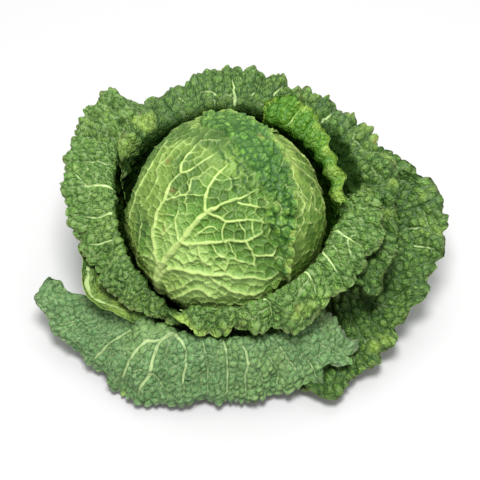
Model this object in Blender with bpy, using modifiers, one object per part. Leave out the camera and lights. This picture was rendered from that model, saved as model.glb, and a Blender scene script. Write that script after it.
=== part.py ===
"""A savoy cabbage as cut and set down: a dense crinkled head on a short stalk, inside nine loose wrapper leaves.

The script builds one object for each separate piece: the stalk, the head and every wrapper leaf. Blender's units are
metres with +Z up. The origin is the centre of the stalk's flat cut face, on which the cabbage rests. Azimuths are
degrees anticlockwise from +X seen from above, so 270 faces the viewer who looks along +Y.
"""

import math
from typing import NamedTuple

import bmesh
import bpy
import numpy as np
from mathutils import Vector

MM = 0.001
CLEARANCE = 0.3

# Driving dimensions, in millimetres.
HEAD_RADIUS = 70.0
HEAD_CENTRE_Z = 84.0
STALK_RADIUS = 15.5
STALK_HEIGHT = 13.0
BLADE_THICKNESS = 1.1
VEIN_THICKNESS = 1.7
PETIOLE_SQUEEZE = 0.55

# Colours are linear RGB.
STALK_COLOUR = (0.62, 0.62, 0.36)
HEAD_COLOUR = (0.30, 0.46, 0.10)
INNER_COLOUR = (0.13, 0.31, 0.035)
OUTER_COLOUR = (0.055, 0.16, 0.03)


class Wrapper(NamedTuple):
    """One loose leaf. Each station is (azimuth, gap off the head, latitude where the blade leaves the head, rim
    radius, rim height, rim slope): degrees, millimetres, degrees, millimetres, millimetres, degrees above level."""

    name: str
    midrib: float
    base_z: float
    rib: float
    colour: tuple
    columns: int
    rows: int
    stations: tuple


class Relief(NamedTuple):
    """How a leaf is crinkled: how steeply its lateral veins climb and the share of its length where puckers start,
    then heights in millimetres: of its puckers, margin waves and scallops, and of a head leaf's midrib and laterals."""

    climb: float
    start: float
    pucker: float
    ruffle: float
    scallop: float
    midrib: float
    lateral: float


class HeadLeaf(NamedTuple):
    """A leaf wrapped onto the head. Each row of the net runs from its left margin over its midrib to its right margin
    as (azimuth, latitude) in degrees, and the rows climb from its root to its tip."""

    radius: float
    relief: Relief
    columns: int
    rows: int
    net: tuple


WRAPPER_RELIEF = Relief(0.6, 0.3, 4.3, 2.4, 2.2, 0.0, 0.0)
INNER_HEAD_RELIEF = Relief(1.0, 0.0, 2.0, 0.4, 1.5, 0.9, 0.3)
MAIN_HEAD_RELIEF = Relief(1.3, 0.0, 3.8, 0.6, 2.0, 1.4, 0.5)

WRAPPERS = (
    Wrapper("wrapper_right_low", 342, 5.0, 3.2, OUTER_COLOUR, 24, 13, (
        (297, 24, -50, 103, 9, 0), (303, 25, -50, 118, 9, -10), (311, 25, -50, 122, 10, -10),
        (320, 25, -50, 127, 13, -5), (330, 25, -48, 131, 20, 5), (341, 26, -46, 137, 30, 15),
        (351, 27, -44, 148, 44, 20), (361, 28, -42, 156, 60, 20), (370, 28, -40, 155, 70, 20),
        (378, 28, -38, 147, 79, 25), (386, 28, -34, 132, 89, 30), (393, 27, -30, 118, 90, 40))),
    Wrapper("wrapper_front", 244, 6.4, 3.2, OUTER_COLOUR, 26, 14, (
        (189, 27, -38, 128, 45, 35), (193, 27, -36, 141, 35, 10), (199, 26, -34, 135, 25, -10),
        (207, 25, -33, 131, 17, -25), (217, 23, -32, 124, 11, -45), (229, 21, -30, 124, 8, -60),
        (240, 19, -28, 121, 7, -65), (254, 18, -26, 112, 7, -70), (265, 18, -26, 103, 9, -70),
        (276, 18, -26, 104, 8, -70), (290, 18, -28, 105, 10, -60), (300, 18, -29, 108, 16, -45),
        (311, 19, -30, 113, 22, -25), (322, 20, -32, 113, 31, -10))),
    Wrapper("wrapper_back_low", 112, 5.4, 3.2, OUTER_COLOUR, 20, 12, (
        (58, 24, -18, 104, 68, 10), (66, 25, -16, 118, 76, 0), (82, 26, -14, 125, 84, -15),
        (100, 27, -12, 126, 86, -20), (120, 29, -12, 126, 84, -20), (140, 32, -14, 124, 78, -15),
        (158, 33, -20, 118, 68, 0), (168, 33, -26, 106, 56, 15))),
    Wrapper("wrapper_left_low", 206, 8.2, 2.6, OUTER_COLOUR, 14, 11, (
        (180, 19, -26, 104, 67, 60), (187, 18, -26, 108, 76, 60), (198, 17.5, -29, 109, 72, 60),
        (208, 17, -30, 107, 63, 50), (217, 16.5, -30, 102, 56, 38), (225, 16, -28, 92, 53, 30))),
    Wrapper("wrapper_left", 186, 10.4, 2.6, OUTER_COLOUR, 24, 14, (
        (125, 20, 0, 106, 108, 15), (131, 22, 4, 125, 113, 0), (143, 23, 6, 130, 111, -5),
        (157, 18, 8, 124, 103, -10), (173, 12, 9, 118, 93, -15), (185, 11, 8, 110, 84, -25),
        (197, 11, 5, 102, 74, -35), (212, 11, 0, 97, 64, -45), (225, 11, -7, 89, 58, -45),
        (236, 11, -16, 81, 53, -20), (244, 11, -24, 76, 50, 0))),
    Wrapper("wrapper_right_back", 20, 8.0, 2.6, OUTER_COLOUR, 24, 13, (
        (332, 13, -16, 116, 64, 5), (341, 13, -14, 117, 73, 5), (352, 13, -12, 118, 82, 5),
        (364, 13, -10, 118, 90, 5), (374, 13, -6, 121, 96, 0), (388, 13, 0, 119, 103, -5),
        (400, 13, 3, 115, 106, -10), (410, 13, 3, 117, 106, -10), (418, 13, 2, 117, 105, -10),
        (427, 13, 0, 114, 101, -10), (434, 13, -4, 104, 94, 0))),
    Wrapper("wrapper_back", 98, 9.4, 2.4, OUTER_COLOUR, 22, 13, (
        (55, 8, 8, 96, 114, 20), (64, 9, 14, 108, 119, 5), (75, 9, 19, 114, 121, -5),
        (86, 8, 21, 118, 121, -10), (96, 8, 21, 117, 121, -10), (107, 8, 19, 108, 119, -5),
        (121, 8, 16, 103, 118, -5), (135, 9, 11, 93, 120, 10), (149, 11, 5, 88, 117, 40),
        (160, 11, -6, 83, 100, 60))),
    Wrapper("wrapper_right_front", 322, 9.6, 2.4, OUTER_COLOUR, 26, 14, (
        (244, 7, -14, 82, 68, 0), (254, 7, -10, 86, 60, -50), (264, 7, -8, 84, 58, -65),
        (274, 7, -6, 82, 60, -65), (284, 7, -4, 83, 61, -60), (293, 7, -2, 88, 60, -55),
        (302, 7, 0, 96, 61, -50), (313, 7, 1, 95, 70, -35), (322, 7, 2, 99, 77, -30),
        (331, 7, 3, 101, 82, -25), (339, 7, 4, 105, 87, -20), (346, 7, 4, 110, 91, -15),
        (355, 8, 1, 106, 97, 0), (363, 8, -4, 104, 101, 15), (369, 8, -8, 97, 101, 30))),
    Wrapper("wrapper_inner", 36, 11.4, 2.0, INNER_COLOUR, 18, 12, (
        (356, 4, 8, 79, 107, 50), (366, 4, 16, 80, 112, 45), (378, 4, 21, 78, 119, 50),
        (391, 4, 23, 80, 122, 40), (402, 4, 23, 84, 126, 30), (413, 4, 23, 86, 129, 30),
        (424, 4, 22, 79, 131, 50), (431, 4, 17, 73, 125, 75))),
)

HEAD_LEAVES = (
    HeadLeaf(68.4, INNER_HEAD_RELIEF, 12, 12, (
        ((5, -52), (22, -50), (40, -52)), ((342, -22), (22, -24), (62, -22)), ((336, 10), (24, 8), (74, 10)),
        ((334, 45), (28, 42), (84, 44)), ((300, 74), (60, 78), (100, 66)))),
    HeadLeaf(68.5, INNER_HEAD_RELIEF, 12, 12, (
        ((150, -52), (168, -50), (186, -52)), ((128, -22), (168, -24), (206, -22)), ((122, 10), (168, 10), (210, 10)),
        ((120, 42), (166, 44), (215, 45)), ((100, 66), (150, 72), (230, 72)))),
    HeadLeaf(69.4, INNER_HEAD_RELIEF, 14, 13, (
        ((88, -52), (105, -50), (122, -52)), ((62, -22), (104, -24), (146, -22)), ((54, 8), (102, 8), (154, 10)),
        ((50, 38), (98, 42), (156, 42)), ((40, 62), (95, 72), (190, 68)))),
    HeadLeaf(69.9, INNER_HEAD_RELIEF, 14, 13, (
        ((290, -52), (306, -50), (322, -52)), ((268, -22), (306, -24), (342, -24)), ((262, 10), (307, 8), (355, 8)),
        ((262, 45), (310, 42), (2, 44)), ((230, 72), (330, 76), (28, 70)))),
    HeadLeaf(72.8, MAIN_HEAD_RELIEF, 26, 24, (
        ((204, -50), (211, -48), (217, -46), (223, -48), (230, -50)),
        ((186, -28), (206, -20), (224, -15), (238, -22), (254, -33)),
        ((184, 0), (207, 10), (230, 13), (251, 2), (273, -15)),
        ((184, 24), (212, 37), (240, 38), (268, 24), (294, -2)),
        ((160, 40), (200, 62), (258, 55), (282, 39), (303, 12)),
        ((128, 46), (70, 66), (334, 61), (326, 47), (313, 31)))),
)
CORE_RADIUS = 66.2
SUNK_RADIUS = 60.0
HEAD_RIM_LIFT = 0.8


def smoothstep(share):
    share = np.clip(share, 0.0, 1.0)
    return share * share * (3.0 - 2.0 * share)


def along_stations(stations, azimuths):
    """The other columns of the stations at these azimuths, on one smooth curve through the rows."""
    table = np.array(stations, float)
    knots, values = table[:, 0], table[:, 1:]
    slopes = np.gradient(values, knots, axis=0)
    span = np.clip(np.searchsorted(knots, azimuths) - 1, 0, len(knots) - 2)
    width = (knots[span + 1] - knots[span])[:, None]
    t = np.clip((azimuths - knots[span])[:, None] / width, 0.0, 1.0)
    start, end = values[span], values[span + 1]
    rise = smoothstep(t)
    return (
        start * (1.0 - rise)
        + end * rise
        + width * slopes[span] * t * (1.0 - t) ** 2
        - width * slopes[span + 1] * t * t * (1.0 - t)
    ).T


def bezier(start, out, back, end, t):
    return (1 - t) ** 3 * start + 3 * t * (1 - t) ** 2 * out + 3 * t * t * (1 - t) * back + t**3 * end


def hug_radius(leaf, gap, angle):
    """Distance from the head's centre of a blade that hugs it, angle being measured up from straight below."""
    at_stalk = math.hypot(STALK_RADIUS + CLEARANCE, HEAD_CENTRE_Z - leaf.base_z)
    return at_stalk + (HEAD_RADIUS + gap - at_stalk) * smoothstep(angle / 1.15)


def wrapper_surface(leaf, u, v):
    """Points of a wrapper leaf's smooth inner face. u is -1 to 1 across, v is 0 at the stalk to 1 at the rim.

    Each column follows the head's underside at its gap, leaves it at its latitude and swings out to the rim.
    """
    first, last = leaf.stations[0][0], leaf.stations[-1][0]
    middle = leaf.midrib if first < leaf.midrib < last else leaf.midrib + 360.0
    azimuth = np.where(u < 0, middle + u * (middle - first), middle + u * (last - middle))
    gap, latitude, rim_r, rim_z, rim_slope = along_stations(leaf.stations, azimuth)
    base_angle = math.atan2(STALK_RADIUS + CLEARANCE, HEAD_CENTRE_Z - leaf.base_z)
    fold_angle = np.radians(latitude + 90.0)
    fold_rho = hug_radius(leaf, gap, fold_angle)
    fold_r, fold_z = fold_rho * np.sin(fold_angle), HEAD_CENTRE_Z - fold_rho * np.cos(fold_angle)
    lip_length = np.hypot(rim_r - fold_r, rim_z - fold_z)
    hug_length = (fold_angle - base_angle) * fold_rho
    fold_v = hug_length / (hug_length + 1.1 * lip_length)

    angle = base_angle + (fold_angle - base_angle) * np.clip(v / fold_v, 0.0, 1.0)
    rho = hug_radius(leaf, gap, angle)
    lip = np.clip((v - fold_v) / (1.0 - fold_v), 0.0, 1.0)
    reach = 0.42 * lip_length
    slope = np.radians(rim_slope)
    lip_r = bezier(fold_r, fold_r + reach * np.cos(fold_angle), rim_r - reach * np.cos(slope), rim_r, lip)
    lip_z = bezier(fold_z, fold_z + reach * np.sin(fold_angle), rim_z - reach * np.sin(slope), rim_z, lip)
    radius = np.where(v < fold_v, rho * np.sin(angle), lip_r)
    height = np.where(v < fold_v, HEAD_CENTRE_Z - rho * np.cos(angle), lip_z)
    spread = PETIOLE_SQUEEZE + (1.0 - PETIOLE_SQUEEZE) * smoothstep(v / 0.55)
    turned = np.radians(middle + (azimuth - middle) * spread)
    points = np.stack([radius * np.cos(turned), radius * np.sin(turned), height], axis=1)
    return points, smoothstep((v - fold_v) / 0.2)


def spline(values, share):
    """Values spaced evenly over 0 to 1, on one smooth curve. The share holds one place for each column of values."""
    last = len(values) - 1
    span = np.clip((share * last).astype(int), 0, last - 1)
    t = (share * last - span)[:, None]
    each = np.arange(len(share))
    before, start = values[np.maximum(span - 1, 0), each], values[span, each]
    end, after = values[span + 1, each], values[np.minimum(span + 2, last), each]
    return 0.5 * (
        2.0 * start
        + (end - before) * t
        + (2.0 * before - 5.0 * start + 4.0 * end - after) * t**2
        + (3.0 * start - before - 3.0 * end + after) * t**3
    )


def head_leaf_surface(leaf, u, v):
    """Points of a head leaf's smooth outer face, whose margins lift a little off the leaf beneath."""
    azimuth, latitude = np.radians(np.array(leaf.net, float)).transpose(2, 0, 1)
    level = np.cos(latitude)
    net = np.stack([level * np.cos(azimuth), level * np.sin(azimuth), np.sin(latitude)], axis=-1)
    rows = np.stack([spline(np.repeat(row[:, None], len(u), axis=1), (u + 1.0) / 2.0) for row in net])
    points = spline(rows, np.clip(v, 0.0, 1.0))
    points /= np.linalg.norm(points, axis=1)[:, None]
    rim = np.maximum(np.abs(u) ** 6, v**10)
    points *= (leaf.radius + HEAD_RIM_LIFT * rim)[:, None]
    return points + np.array([0.0, 0.0, HEAD_CENTRE_Z]), np.ones(len(u))


def outward_normals(surface, leaf, u, v):
    step = 1e-3
    left, right = np.maximum(u - step, -1.0), np.minimum(u + step, 1.0)
    low, high = np.maximum(v - step, 0.0), np.minimum(v + step, 1.0)
    across = surface(leaf, right, v)[0] - surface(leaf, left, v)[0]
    along = surface(leaf, u, high)[0] - surface(leaf, u, low)[0]
    normal = np.cross(across, along)
    return normal / np.linalg.norm(normal, axis=1)[:, None], along / np.linalg.norm(along, axis=1)[:, None]


def new_object(name, mesh, colour, collection):
    material = bpy.data.materials.new(name)
    material.use_nodes = True
    shader = material.node_tree.nodes["Principled BSDF"]
    shader.inputs["Base Color"].default_value = (*colour, 1.0)
    shader.inputs["Roughness"].default_value = 0.5
    shader.inputs["Metallic"].default_value = 0.0
    mesh.materials.append(material)
    obj = bpy.data.objects.new(name, mesh)
    collection.objects.link(obj)
    return obj


def crinkled_sheet(leaf, name, surface, relief):
    """A grid laid onto the leaf's surface, its rows rising towards the margins as the lateral veins do.

    Even columns and even rows are veins in a net, and the points between them pucker towards the leaf's inner side.
    It returns the triangulated mesh with each vertex's u, v and whether it lies on a lateral vein.
    """
    net = bmesh.new()
    bmesh.ops.create_grid(net, x_segments=leaf.columns, y_segments=leaf.rows, size=1.0)
    flat = np.array([vertex.co for vertex in net.verts])
    u, level = flat[:, 0], (flat[:, 1] + 1.0) / 2.0
    column = np.rint((u + 1.0) / 2.0 * leaf.columns).astype(int)
    row = np.rint(level * leaf.rows).astype(int)
    v = level ** (1.0 / (1.0 + relief.climb * np.abs(u)))
    points, free = surface(leaf, u, v)
    outward, along = outward_normals(surface, leaf, u, v)
    on_midrib = column == leaf.columns // 2
    on_lateral = (row % 2 == 0) & (np.abs(u) < 0.9) & ~on_midrib
    between = (column % 2 == 1) & (row % 2 == 1)
    grown = smoothstep((v - relief.start) / 0.2) * (0.2 + 0.8 * free)
    wave = np.sin(column * 0.8 * math.pi + 0.7) * smoothstep((v - 0.75) / 0.25)
    height = relief.ruffle * wave - relief.pucker * between * grown
    height += relief.midrib * on_midrib * (1.0 - 0.6 * v) + relief.lateral * on_lateral
    scallop = relief.scallop * np.where(column % 2 == 0, -0.5, 0.5) * (row == leaf.rows)
    points = points + outward * height[:, None] + along * scallop[:, None]
    for vertex, point in zip(net.verts, points):
        vertex.co = point * MM
    bmesh.ops.triangulate(net, faces=net.faces[:])
    mesh = bpy.data.meshes.new(name)
    net.to_mesh(mesh)
    net.free()
    return mesh, u, v, on_lateral


def make_wrapper(leaf, collection):
    """A loose leaf, thickened outwards by its own amount at each vertex: most at the midrib, then the lateral veins."""
    mesh, u, v, on_lateral = crinkled_sheet(leaf, leaf.name, wrapper_surface, WRAPPER_RELIEF)
    obj = new_object(leaf.name, mesh, leaf.colour, collection)
    thickness = np.where(on_lateral, VEIN_THICKNESS, BLADE_THICKNESS)
    midrib = np.abs(u) < 1e-6
    thickness[midrib] = leaf.rib - (leaf.rib - VEIN_THICKNESS) * v[midrib]
    group = obj.vertex_groups.new(name="thickness")
    for index, value in enumerate(thickness):
        group.add([index], float(value) / leaf.rib, "REPLACE")
    blade = obj.modifiers.new("Solidify", "SOLIDIFY")
    blade.thickness = leaf.rib * MM
    blade.offset = 1.0
    blade.vertex_group = group.name


def make_stalk(collection):
    """The cut stump: a turned profile, run down its outer side, with a worn lower rim."""
    profile = (
        (0.0, STALK_HEIGHT), (STALK_RADIUS - 0.8, STALK_HEIGHT), (STALK_RADIUS, STALK_HEIGHT - 0.8),
        (STALK_RADIUS - 0.6, 7.0), (STALK_RADIUS, 1.2), (STALK_RADIUS - 1.2, 0.0), (0.0, 0.0),
    )
    outline = bmesh.new()
    corners = [outline.verts.new((r * MM, 0.0, z * MM)) for r, z in profile]
    for start, end in zip(corners, corners[1:]):
        outline.edges.new((start, end))
    mesh = bpy.data.meshes.new("stalk")
    outline.to_mesh(mesh)
    outline.free()
    stalk = new_object("stalk", mesh, STALK_COLOUR, collection)
    turn = stalk.modifiers.new("Screw", "SCREW")
    turn.steps = turn.render_steps = 24
    turn.use_merge_vertices = True
    turn.merge_threshold = 0.0001


def sink_back(sheet):
    """Closes a head leaf's sheet with a back that lies inside the core."""
    body = bmesh.new()
    body.from_mesh(sheet)
    made = bmesh.ops.extrude_face_region(body, geom=body.faces[:], use_keep_orig=True)["geom"]
    centre = Vector((0.0, 0.0, HEAD_CENTRE_Z * MM))
    for vertex in made:
        if isinstance(vertex, bmesh.types.BMVert):
            vertex.co = centre + (vertex.co - centre).normalized() * SUNK_RADIUS * MM
    bmesh.ops.recalc_face_normals(body, faces=body.faces[:])
    body.to_mesh(sheet)
    body.free()


def make_head(collection, patches):
    """The dense head: a smaller core and neck, with the leaves that wrap it standing out, all one body."""
    core = bmesh.new()
    bmesh.ops.create_uvsphere(core, u_segments=32, v_segments=20, radius=CORE_RADIUS * MM)
    bmesh.ops.translate(core, vec=(0.0, 0.0, HEAD_CENTRE_Z * MM), verts=core.verts[:])
    mesh = bpy.data.meshes.new("head")
    core.to_mesh(mesh)
    core.free()
    head = new_object("head", mesh, HEAD_COLOUR, collection)

    neck_bottom, neck_top = STALK_HEIGHT + CLEARANCE, 24.0
    bpy.ops.mesh.primitive_cylinder_add(
        vertices=24, radius=STALK_RADIUS * MM, depth=(neck_top - neck_bottom) * MM,
        location=(0.0, 0.0, (neck_top + neck_bottom) / 2.0 * MM),
    )
    neck = bpy.context.object
    neck.name = "neck"
    for other in list(neck.users_collection):
        other.objects.unlink(neck)
    patches.objects.link(neck)

    for index, leaf in enumerate(HEAD_LEAVES):
        name = f"head_leaf_{index + 1}"
        sheet = crinkled_sheet(leaf, name, head_leaf_surface, leaf.relief)[0]
        sink_back(sheet)
        new_object(name, sheet, HEAD_COLOUR, patches)
    union = head.modifiers.new("Leaves", "BOOLEAN")
    union.operation = "UNION"
    union.operand_type = "COLLECTION"
    union.collection = patches
    union.solver = "MANIFOLD"
    bpy.context.view_layer.objects.active = head
    bpy.ops.object.modifier_apply(modifier=union.name)
    for patch in list(patches.objects):
        bpy.data.objects.remove(patch)
    bpy.data.collections.remove(patches)


def main():
    for obj in list(bpy.data.objects):
        bpy.data.objects.remove(obj)
    cabbage = bpy.data.collections.new("savoy_cabbage")
    patches = bpy.data.collections.new("head_leaves")
    for collection in (cabbage, patches):
        bpy.context.scene.collection.children.link(collection)
    make_stalk(cabbage)
    make_head(cabbage, patches)
    for leaf in WRAPPERS:
        make_wrapper(leaf, cabbage)


main()
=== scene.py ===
"""A savoy cabbage, dressed: each leaf of the solid model gets a finer blade with veins and blisters.

Leaf sizes are in millimetres, as in the solid model, and turn into metres where a mesh is made. The origin is
the centre of the stalk's cut face with +Z up. Azimuths are degrees anticlockwise from +X seen from above, so
270 faces the viewer. On every leaf u runs from -1 to 1 across it and v from 0 at its root to 1 at its rim.
"""

import math
from typing import NamedTuple

import bmesh
import bpy
import numpy as np
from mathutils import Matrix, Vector, noise
from mathutils.kdtree import KDTree


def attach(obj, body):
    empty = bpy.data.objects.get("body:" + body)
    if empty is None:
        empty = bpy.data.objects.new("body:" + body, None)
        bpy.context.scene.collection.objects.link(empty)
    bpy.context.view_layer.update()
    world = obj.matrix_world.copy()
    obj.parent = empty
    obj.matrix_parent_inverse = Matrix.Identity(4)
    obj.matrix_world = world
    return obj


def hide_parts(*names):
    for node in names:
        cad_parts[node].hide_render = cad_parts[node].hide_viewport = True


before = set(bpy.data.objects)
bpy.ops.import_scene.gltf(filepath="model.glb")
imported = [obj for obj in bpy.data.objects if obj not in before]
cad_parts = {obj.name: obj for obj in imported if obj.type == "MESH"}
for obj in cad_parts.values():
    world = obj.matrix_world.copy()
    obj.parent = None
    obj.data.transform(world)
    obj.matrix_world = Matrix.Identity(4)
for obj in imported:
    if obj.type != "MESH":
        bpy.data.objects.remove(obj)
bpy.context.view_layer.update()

MM = 0.001

# The solid model's head and stalk, the gap between stalk and leaf, and the share of its spread that a leaf has
# at its root.
HEAD_RADIUS = 70.0
HEAD_CENTRE_Z = 84.0
STALK_RADIUS = 15.5
CLEARANCE = 0.3
PETIOLE_SQUEEZE = 0.55

# Blades: thickness, thickness at the rim, spacing of the grid, and the power that crowds its rows to the rim.
BLADE = 0.9
RIM_BLADE = 0.5
GRID_STEP = 1.1
HIDDEN_LEAF_STEP = 1.5 * GRID_STEP
MAIN_LEAF_STEP = 0.76 * GRID_STEP
HEAD_LEAF_STEP = 1.1 * GRID_STEP
ROOT_CROWDING = 0.62

# A loose leaf's relief: how far a blister, a patch of blisters and the field between two veins rise.
BLISTER_RISE = 2.2
PATCH_RISE = 1.7
FIELD_RISE = 1.4

# A loose leaf's rim: its wave, how far it droops, its teeth and its two sizes of lobe. Then the share of its
# half width that the front leaf's left side draws in.
RUFFLE = 2.4
DROOP = 2.4
TOOTH = 1.3
LOBE = 2.6
BROAD_LOBE = 2.4
FRONT_WAIST = 0.24

# Lateral veins on each side of a midrib, and the midrib's width: on a loose leaf, against its solid rib.
WRAPPER_LATERALS = 6
HEAD_LATERALS = 5
WIDTH_PER_RIB = 1.5
HEAD_MIDRIB = 3.5

# A head leaf's relief: how far a cell, a patch of cells and the field between two veins sink, the most that
# they may sink together, and how far its margins lift off the leaf beneath. Then the ball inside the leaves.
CELL_SINK = 1.3
PATCH_SINK = 1.2
FIELD_SINK = 1.2
MAIN_LEAF_DEEPEST = 3.6
HEAD_LEAF_DEEPEST = 1.6
HEAD_RIM_LIFT = 0.8
CORE_RADIUS = 65.0

# How far round the head the grid of the main leaf, and of each other head leaf, is laid out.
MAIN_LEAF_GIRTH = 160.0
HEAD_LEAF_GIRTH = 105.0

# Distance between patches of blisters, between the head's cells, and between the fine pebbles of each face.
PATCH = 14.0
HEAD_CELL = 5.7
PEBBLE = 2.4
WAXY_PEBBLE = 1.8

# Seeds of the noise and random draws: one for each leaf, counted up from these, and one for jostled points.
WRAPPER_SEED = 10
HEAD_SEED = 50
JOSTLE_SEED = 7

# The photograph is 480 pixels square. The camera looks down at the head from 50 degrees above level.
PHOTO_PIXELS = 480
CAMERA_PLACE = np.array((7.70, -751.54, 954.60))
CAMERA_TARGET = np.array((7.70, -12.33, 73.65))
CAMERA_LENS = 123.2
SENSOR = 36.0

# Each lamp is its name, its place and size in metres, and its power in watts.
LAMPS = (("key", (0.0, -0.4, 1.4), 0.4, 29.0), ("fill", (0.1, 0.8, 1.3), 1.0, 9.0))
LAMP_AIM = (0.0, 0.0, 0.08)
WORLD_STRENGTH = 0.85
FLOOR_HALF = 4.0
FLOOR_GREY = 0.44


class Wrapper(NamedTuple):
    """One loose leaf: where its midrib is and starts, how thick the midrib is and how many waves the rim has.
    Each station is (azimuth, gap off the head, latitude where the blade leaves the head, rim radius, rim
    height, rim slope above level), in degrees and millimetres."""

    name: str
    midrib: float
    base_z: float
    rib: float
    waves: int
    stations: tuple


class HeadLeaf(NamedTuple):
    """A leaf wrapped onto the head. Each row of the net runs from its left margin over its midrib to its
    right margin as (azimuth, latitude) in degrees, and the rows climb from its root to its tip."""

    name: str
    radius: float
    net: tuple


class Line(NamedTuple):
    """A vein: points on the leaf's smooth face, the outward normals there, half its width at each point, and
    how much paler than the blade it is, from 0 to 1."""

    points: np.ndarray
    normals: np.ndarray
    half_widths: np.ndarray
    pale: np.ndarray


class Palette(NamedTuple):
    """Linear RGB colours of one face of a leaf: its veins, the tops of its blisters, the creases between them
    and, on an inner face, its rim. Tops and creases differ partly as painted light and painted shade."""

    vein: tuple
    light: tuple
    dark: tuple
    rim: tuple = ()


WRAPPERS = (
    Wrapper("wrapper_right_low", 342, 5.0, 3.2, 24, (
        (297, 24, -50, 103, 9, 0), (303, 25, -50, 118, 9, -10), (311, 25, -50, 122, 10, -10),
        (320, 25, -50, 127, 13, -5), (330, 25, -48, 131, 20, 5), (341, 26, -46, 137, 30, 15),
        (351, 27, -44, 148, 44, 20), (361, 28, -42, 156, 60, 20), (370, 28, -40, 155, 70, 20),
        (378, 28, -38, 147, 79, 25), (386, 28, -34, 132, 89, 30), (393, 27, -30, 118, 90, 40))),
    Wrapper("wrapper_front", 244, 6.4, 3.2, 26, (
        (189, 27, -38, 128, 45, 35), (193, 27, -36, 141, 35, 10), (199, 26, -34, 135, 25, -10),
        (207, 25, -33, 131, 17, -25), (217, 23, -32, 124, 11, -45), (229, 21, -30, 124, 8, -60),
        (240, 19, -28, 121, 7, -65), (254, 18, -26, 112, 7, -70), (265, 18, -26, 103, 9, -70),
        (276, 18, -26, 104, 8, -70), (290, 18, -28, 105, 10, -60), (300, 18, -29, 108, 16, -45),
        (311, 19, -30, 114, 20, -25), (322, 20, -32, 115, 26, -10))),
    Wrapper("wrapper_back_low", 112, 5.4, 3.2, 20, (
        (58, 24, -18, 104, 68, 10), (66, 25, -16, 118, 76, 0), (82, 26, -14, 125, 84, -15),
        (100, 27, -12, 126, 86, -20), (120, 29, -12, 126, 84, -20), (140, 32, -14, 124, 78, -15),
        (158, 33, -20, 118, 68, 0), (168, 33, -26, 106, 56, 15))),
    Wrapper("wrapper_left_low", 206, 8.2, 2.6, 5, (
        (180, 19, -26, 98, 62, 60), (187, 18, -26, 102, 72, 60), (198, 17.5, -29, 107, 71, 60),
        (208, 17, -30, 107, 63, 50), (217, 16.5, -30, 102, 56, 38), (225, 16, -28, 92, 53, 30))),
    Wrapper("wrapper_left", 186, 10.4, 2.6, 24, (
        (125, 20, 0, 106, 108, 15), (131, 22, 4, 125, 113, 0), (143, 23, 6, 130, 111, -5),
        (157, 18, 8, 124, 103, -10), (173, 12, 9, 118, 93, -15), (185, 10, 8, 110, 84, -25),
        (197, 10, 5, 102, 74, -35), (212, 9.5, 0, 97, 64, -45), (225, 9, -7, 89, 58, -45),
        (236, 9, -16, 81, 53, -20), (244, 9, -24, 76, 50, 0))),
    Wrapper("wrapper_right_back", 20, 8.0, 2.6, 24, (
        (332, 13, -16, 116, 64, 5), (341, 13, -14, 117, 73, 5), (352, 13, -12, 118, 82, 5),
        (364, 13, -10, 118, 90, 5), (374, 13, -6, 121, 96, 0), (388, 13, 0, 119, 103, -5),
        (400, 13, 3, 115, 106, -10), (410, 13, 3, 117, 106, -10), (418, 13, 2, 117, 105, -10),
        (427, 13, 0, 114, 101, -10), (434, 13, -4, 104, 94, 0))),
    Wrapper("wrapper_back", 98, 9.4, 2.4, 22, (
        (55, 8, 8, 96, 113, 20), (64, 9, 14, 108, 116, 5), (75, 9, 19, 114, 117, -5),
        (86, 8, 21, 117, 117, -10), (96, 8, 21, 116, 117, -10), (107, 8, 19, 107, 115, -5),
        (121, 8, 16, 102, 114, -5), (135, 9, 11, 93, 118, 10), (149, 11, 5, 88, 117, 40),
        (160, 11, -6, 83, 100, 60))),
    Wrapper("wrapper_right_front", 322, 9.6, 2.4, 26, (
        (244, 5, -14, 82, 68, 0), (254, 5, -10, 86, 60, -50), (264, 5, -8, 84, 58, -65),
        (274, 5, -6, 82, 60, -65), (284, 5, -4, 83, 61, -60), (293, 5, -2, 88, 60, -55),
        (302, 4.5, 0, 96, 61, -50), (313, 4, 1, 95, 70, -35), (322, 4, 2, 99, 77, -30),
        (331, 4, 3, 101, 82, -25), (339, 4, 4, 105, 87, -20), (346, 5, 4, 110, 91, -15),
        (355, 8, 1, 106, 97, 0), (363, 8, -4, 104, 101, 15), (369, 8, -8, 97, 101, 30))),
    Wrapper("wrapper_inner", 36, 11.4, 2.0, 18, (
        (356, 4, 8, 79, 107, 50), (366, 4, 16, 80, 112, 45), (378, 4, 21, 78, 119, 50),
        (391, 4, 23, 80, 122, 40), (402, 4, 23, 84, 126, 30), (413, 4, 23, 86, 129, 30),
        (424, 4, 22, 79, 131, 50), (431, 4, 17, 73, 125, 75))),
)

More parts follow.
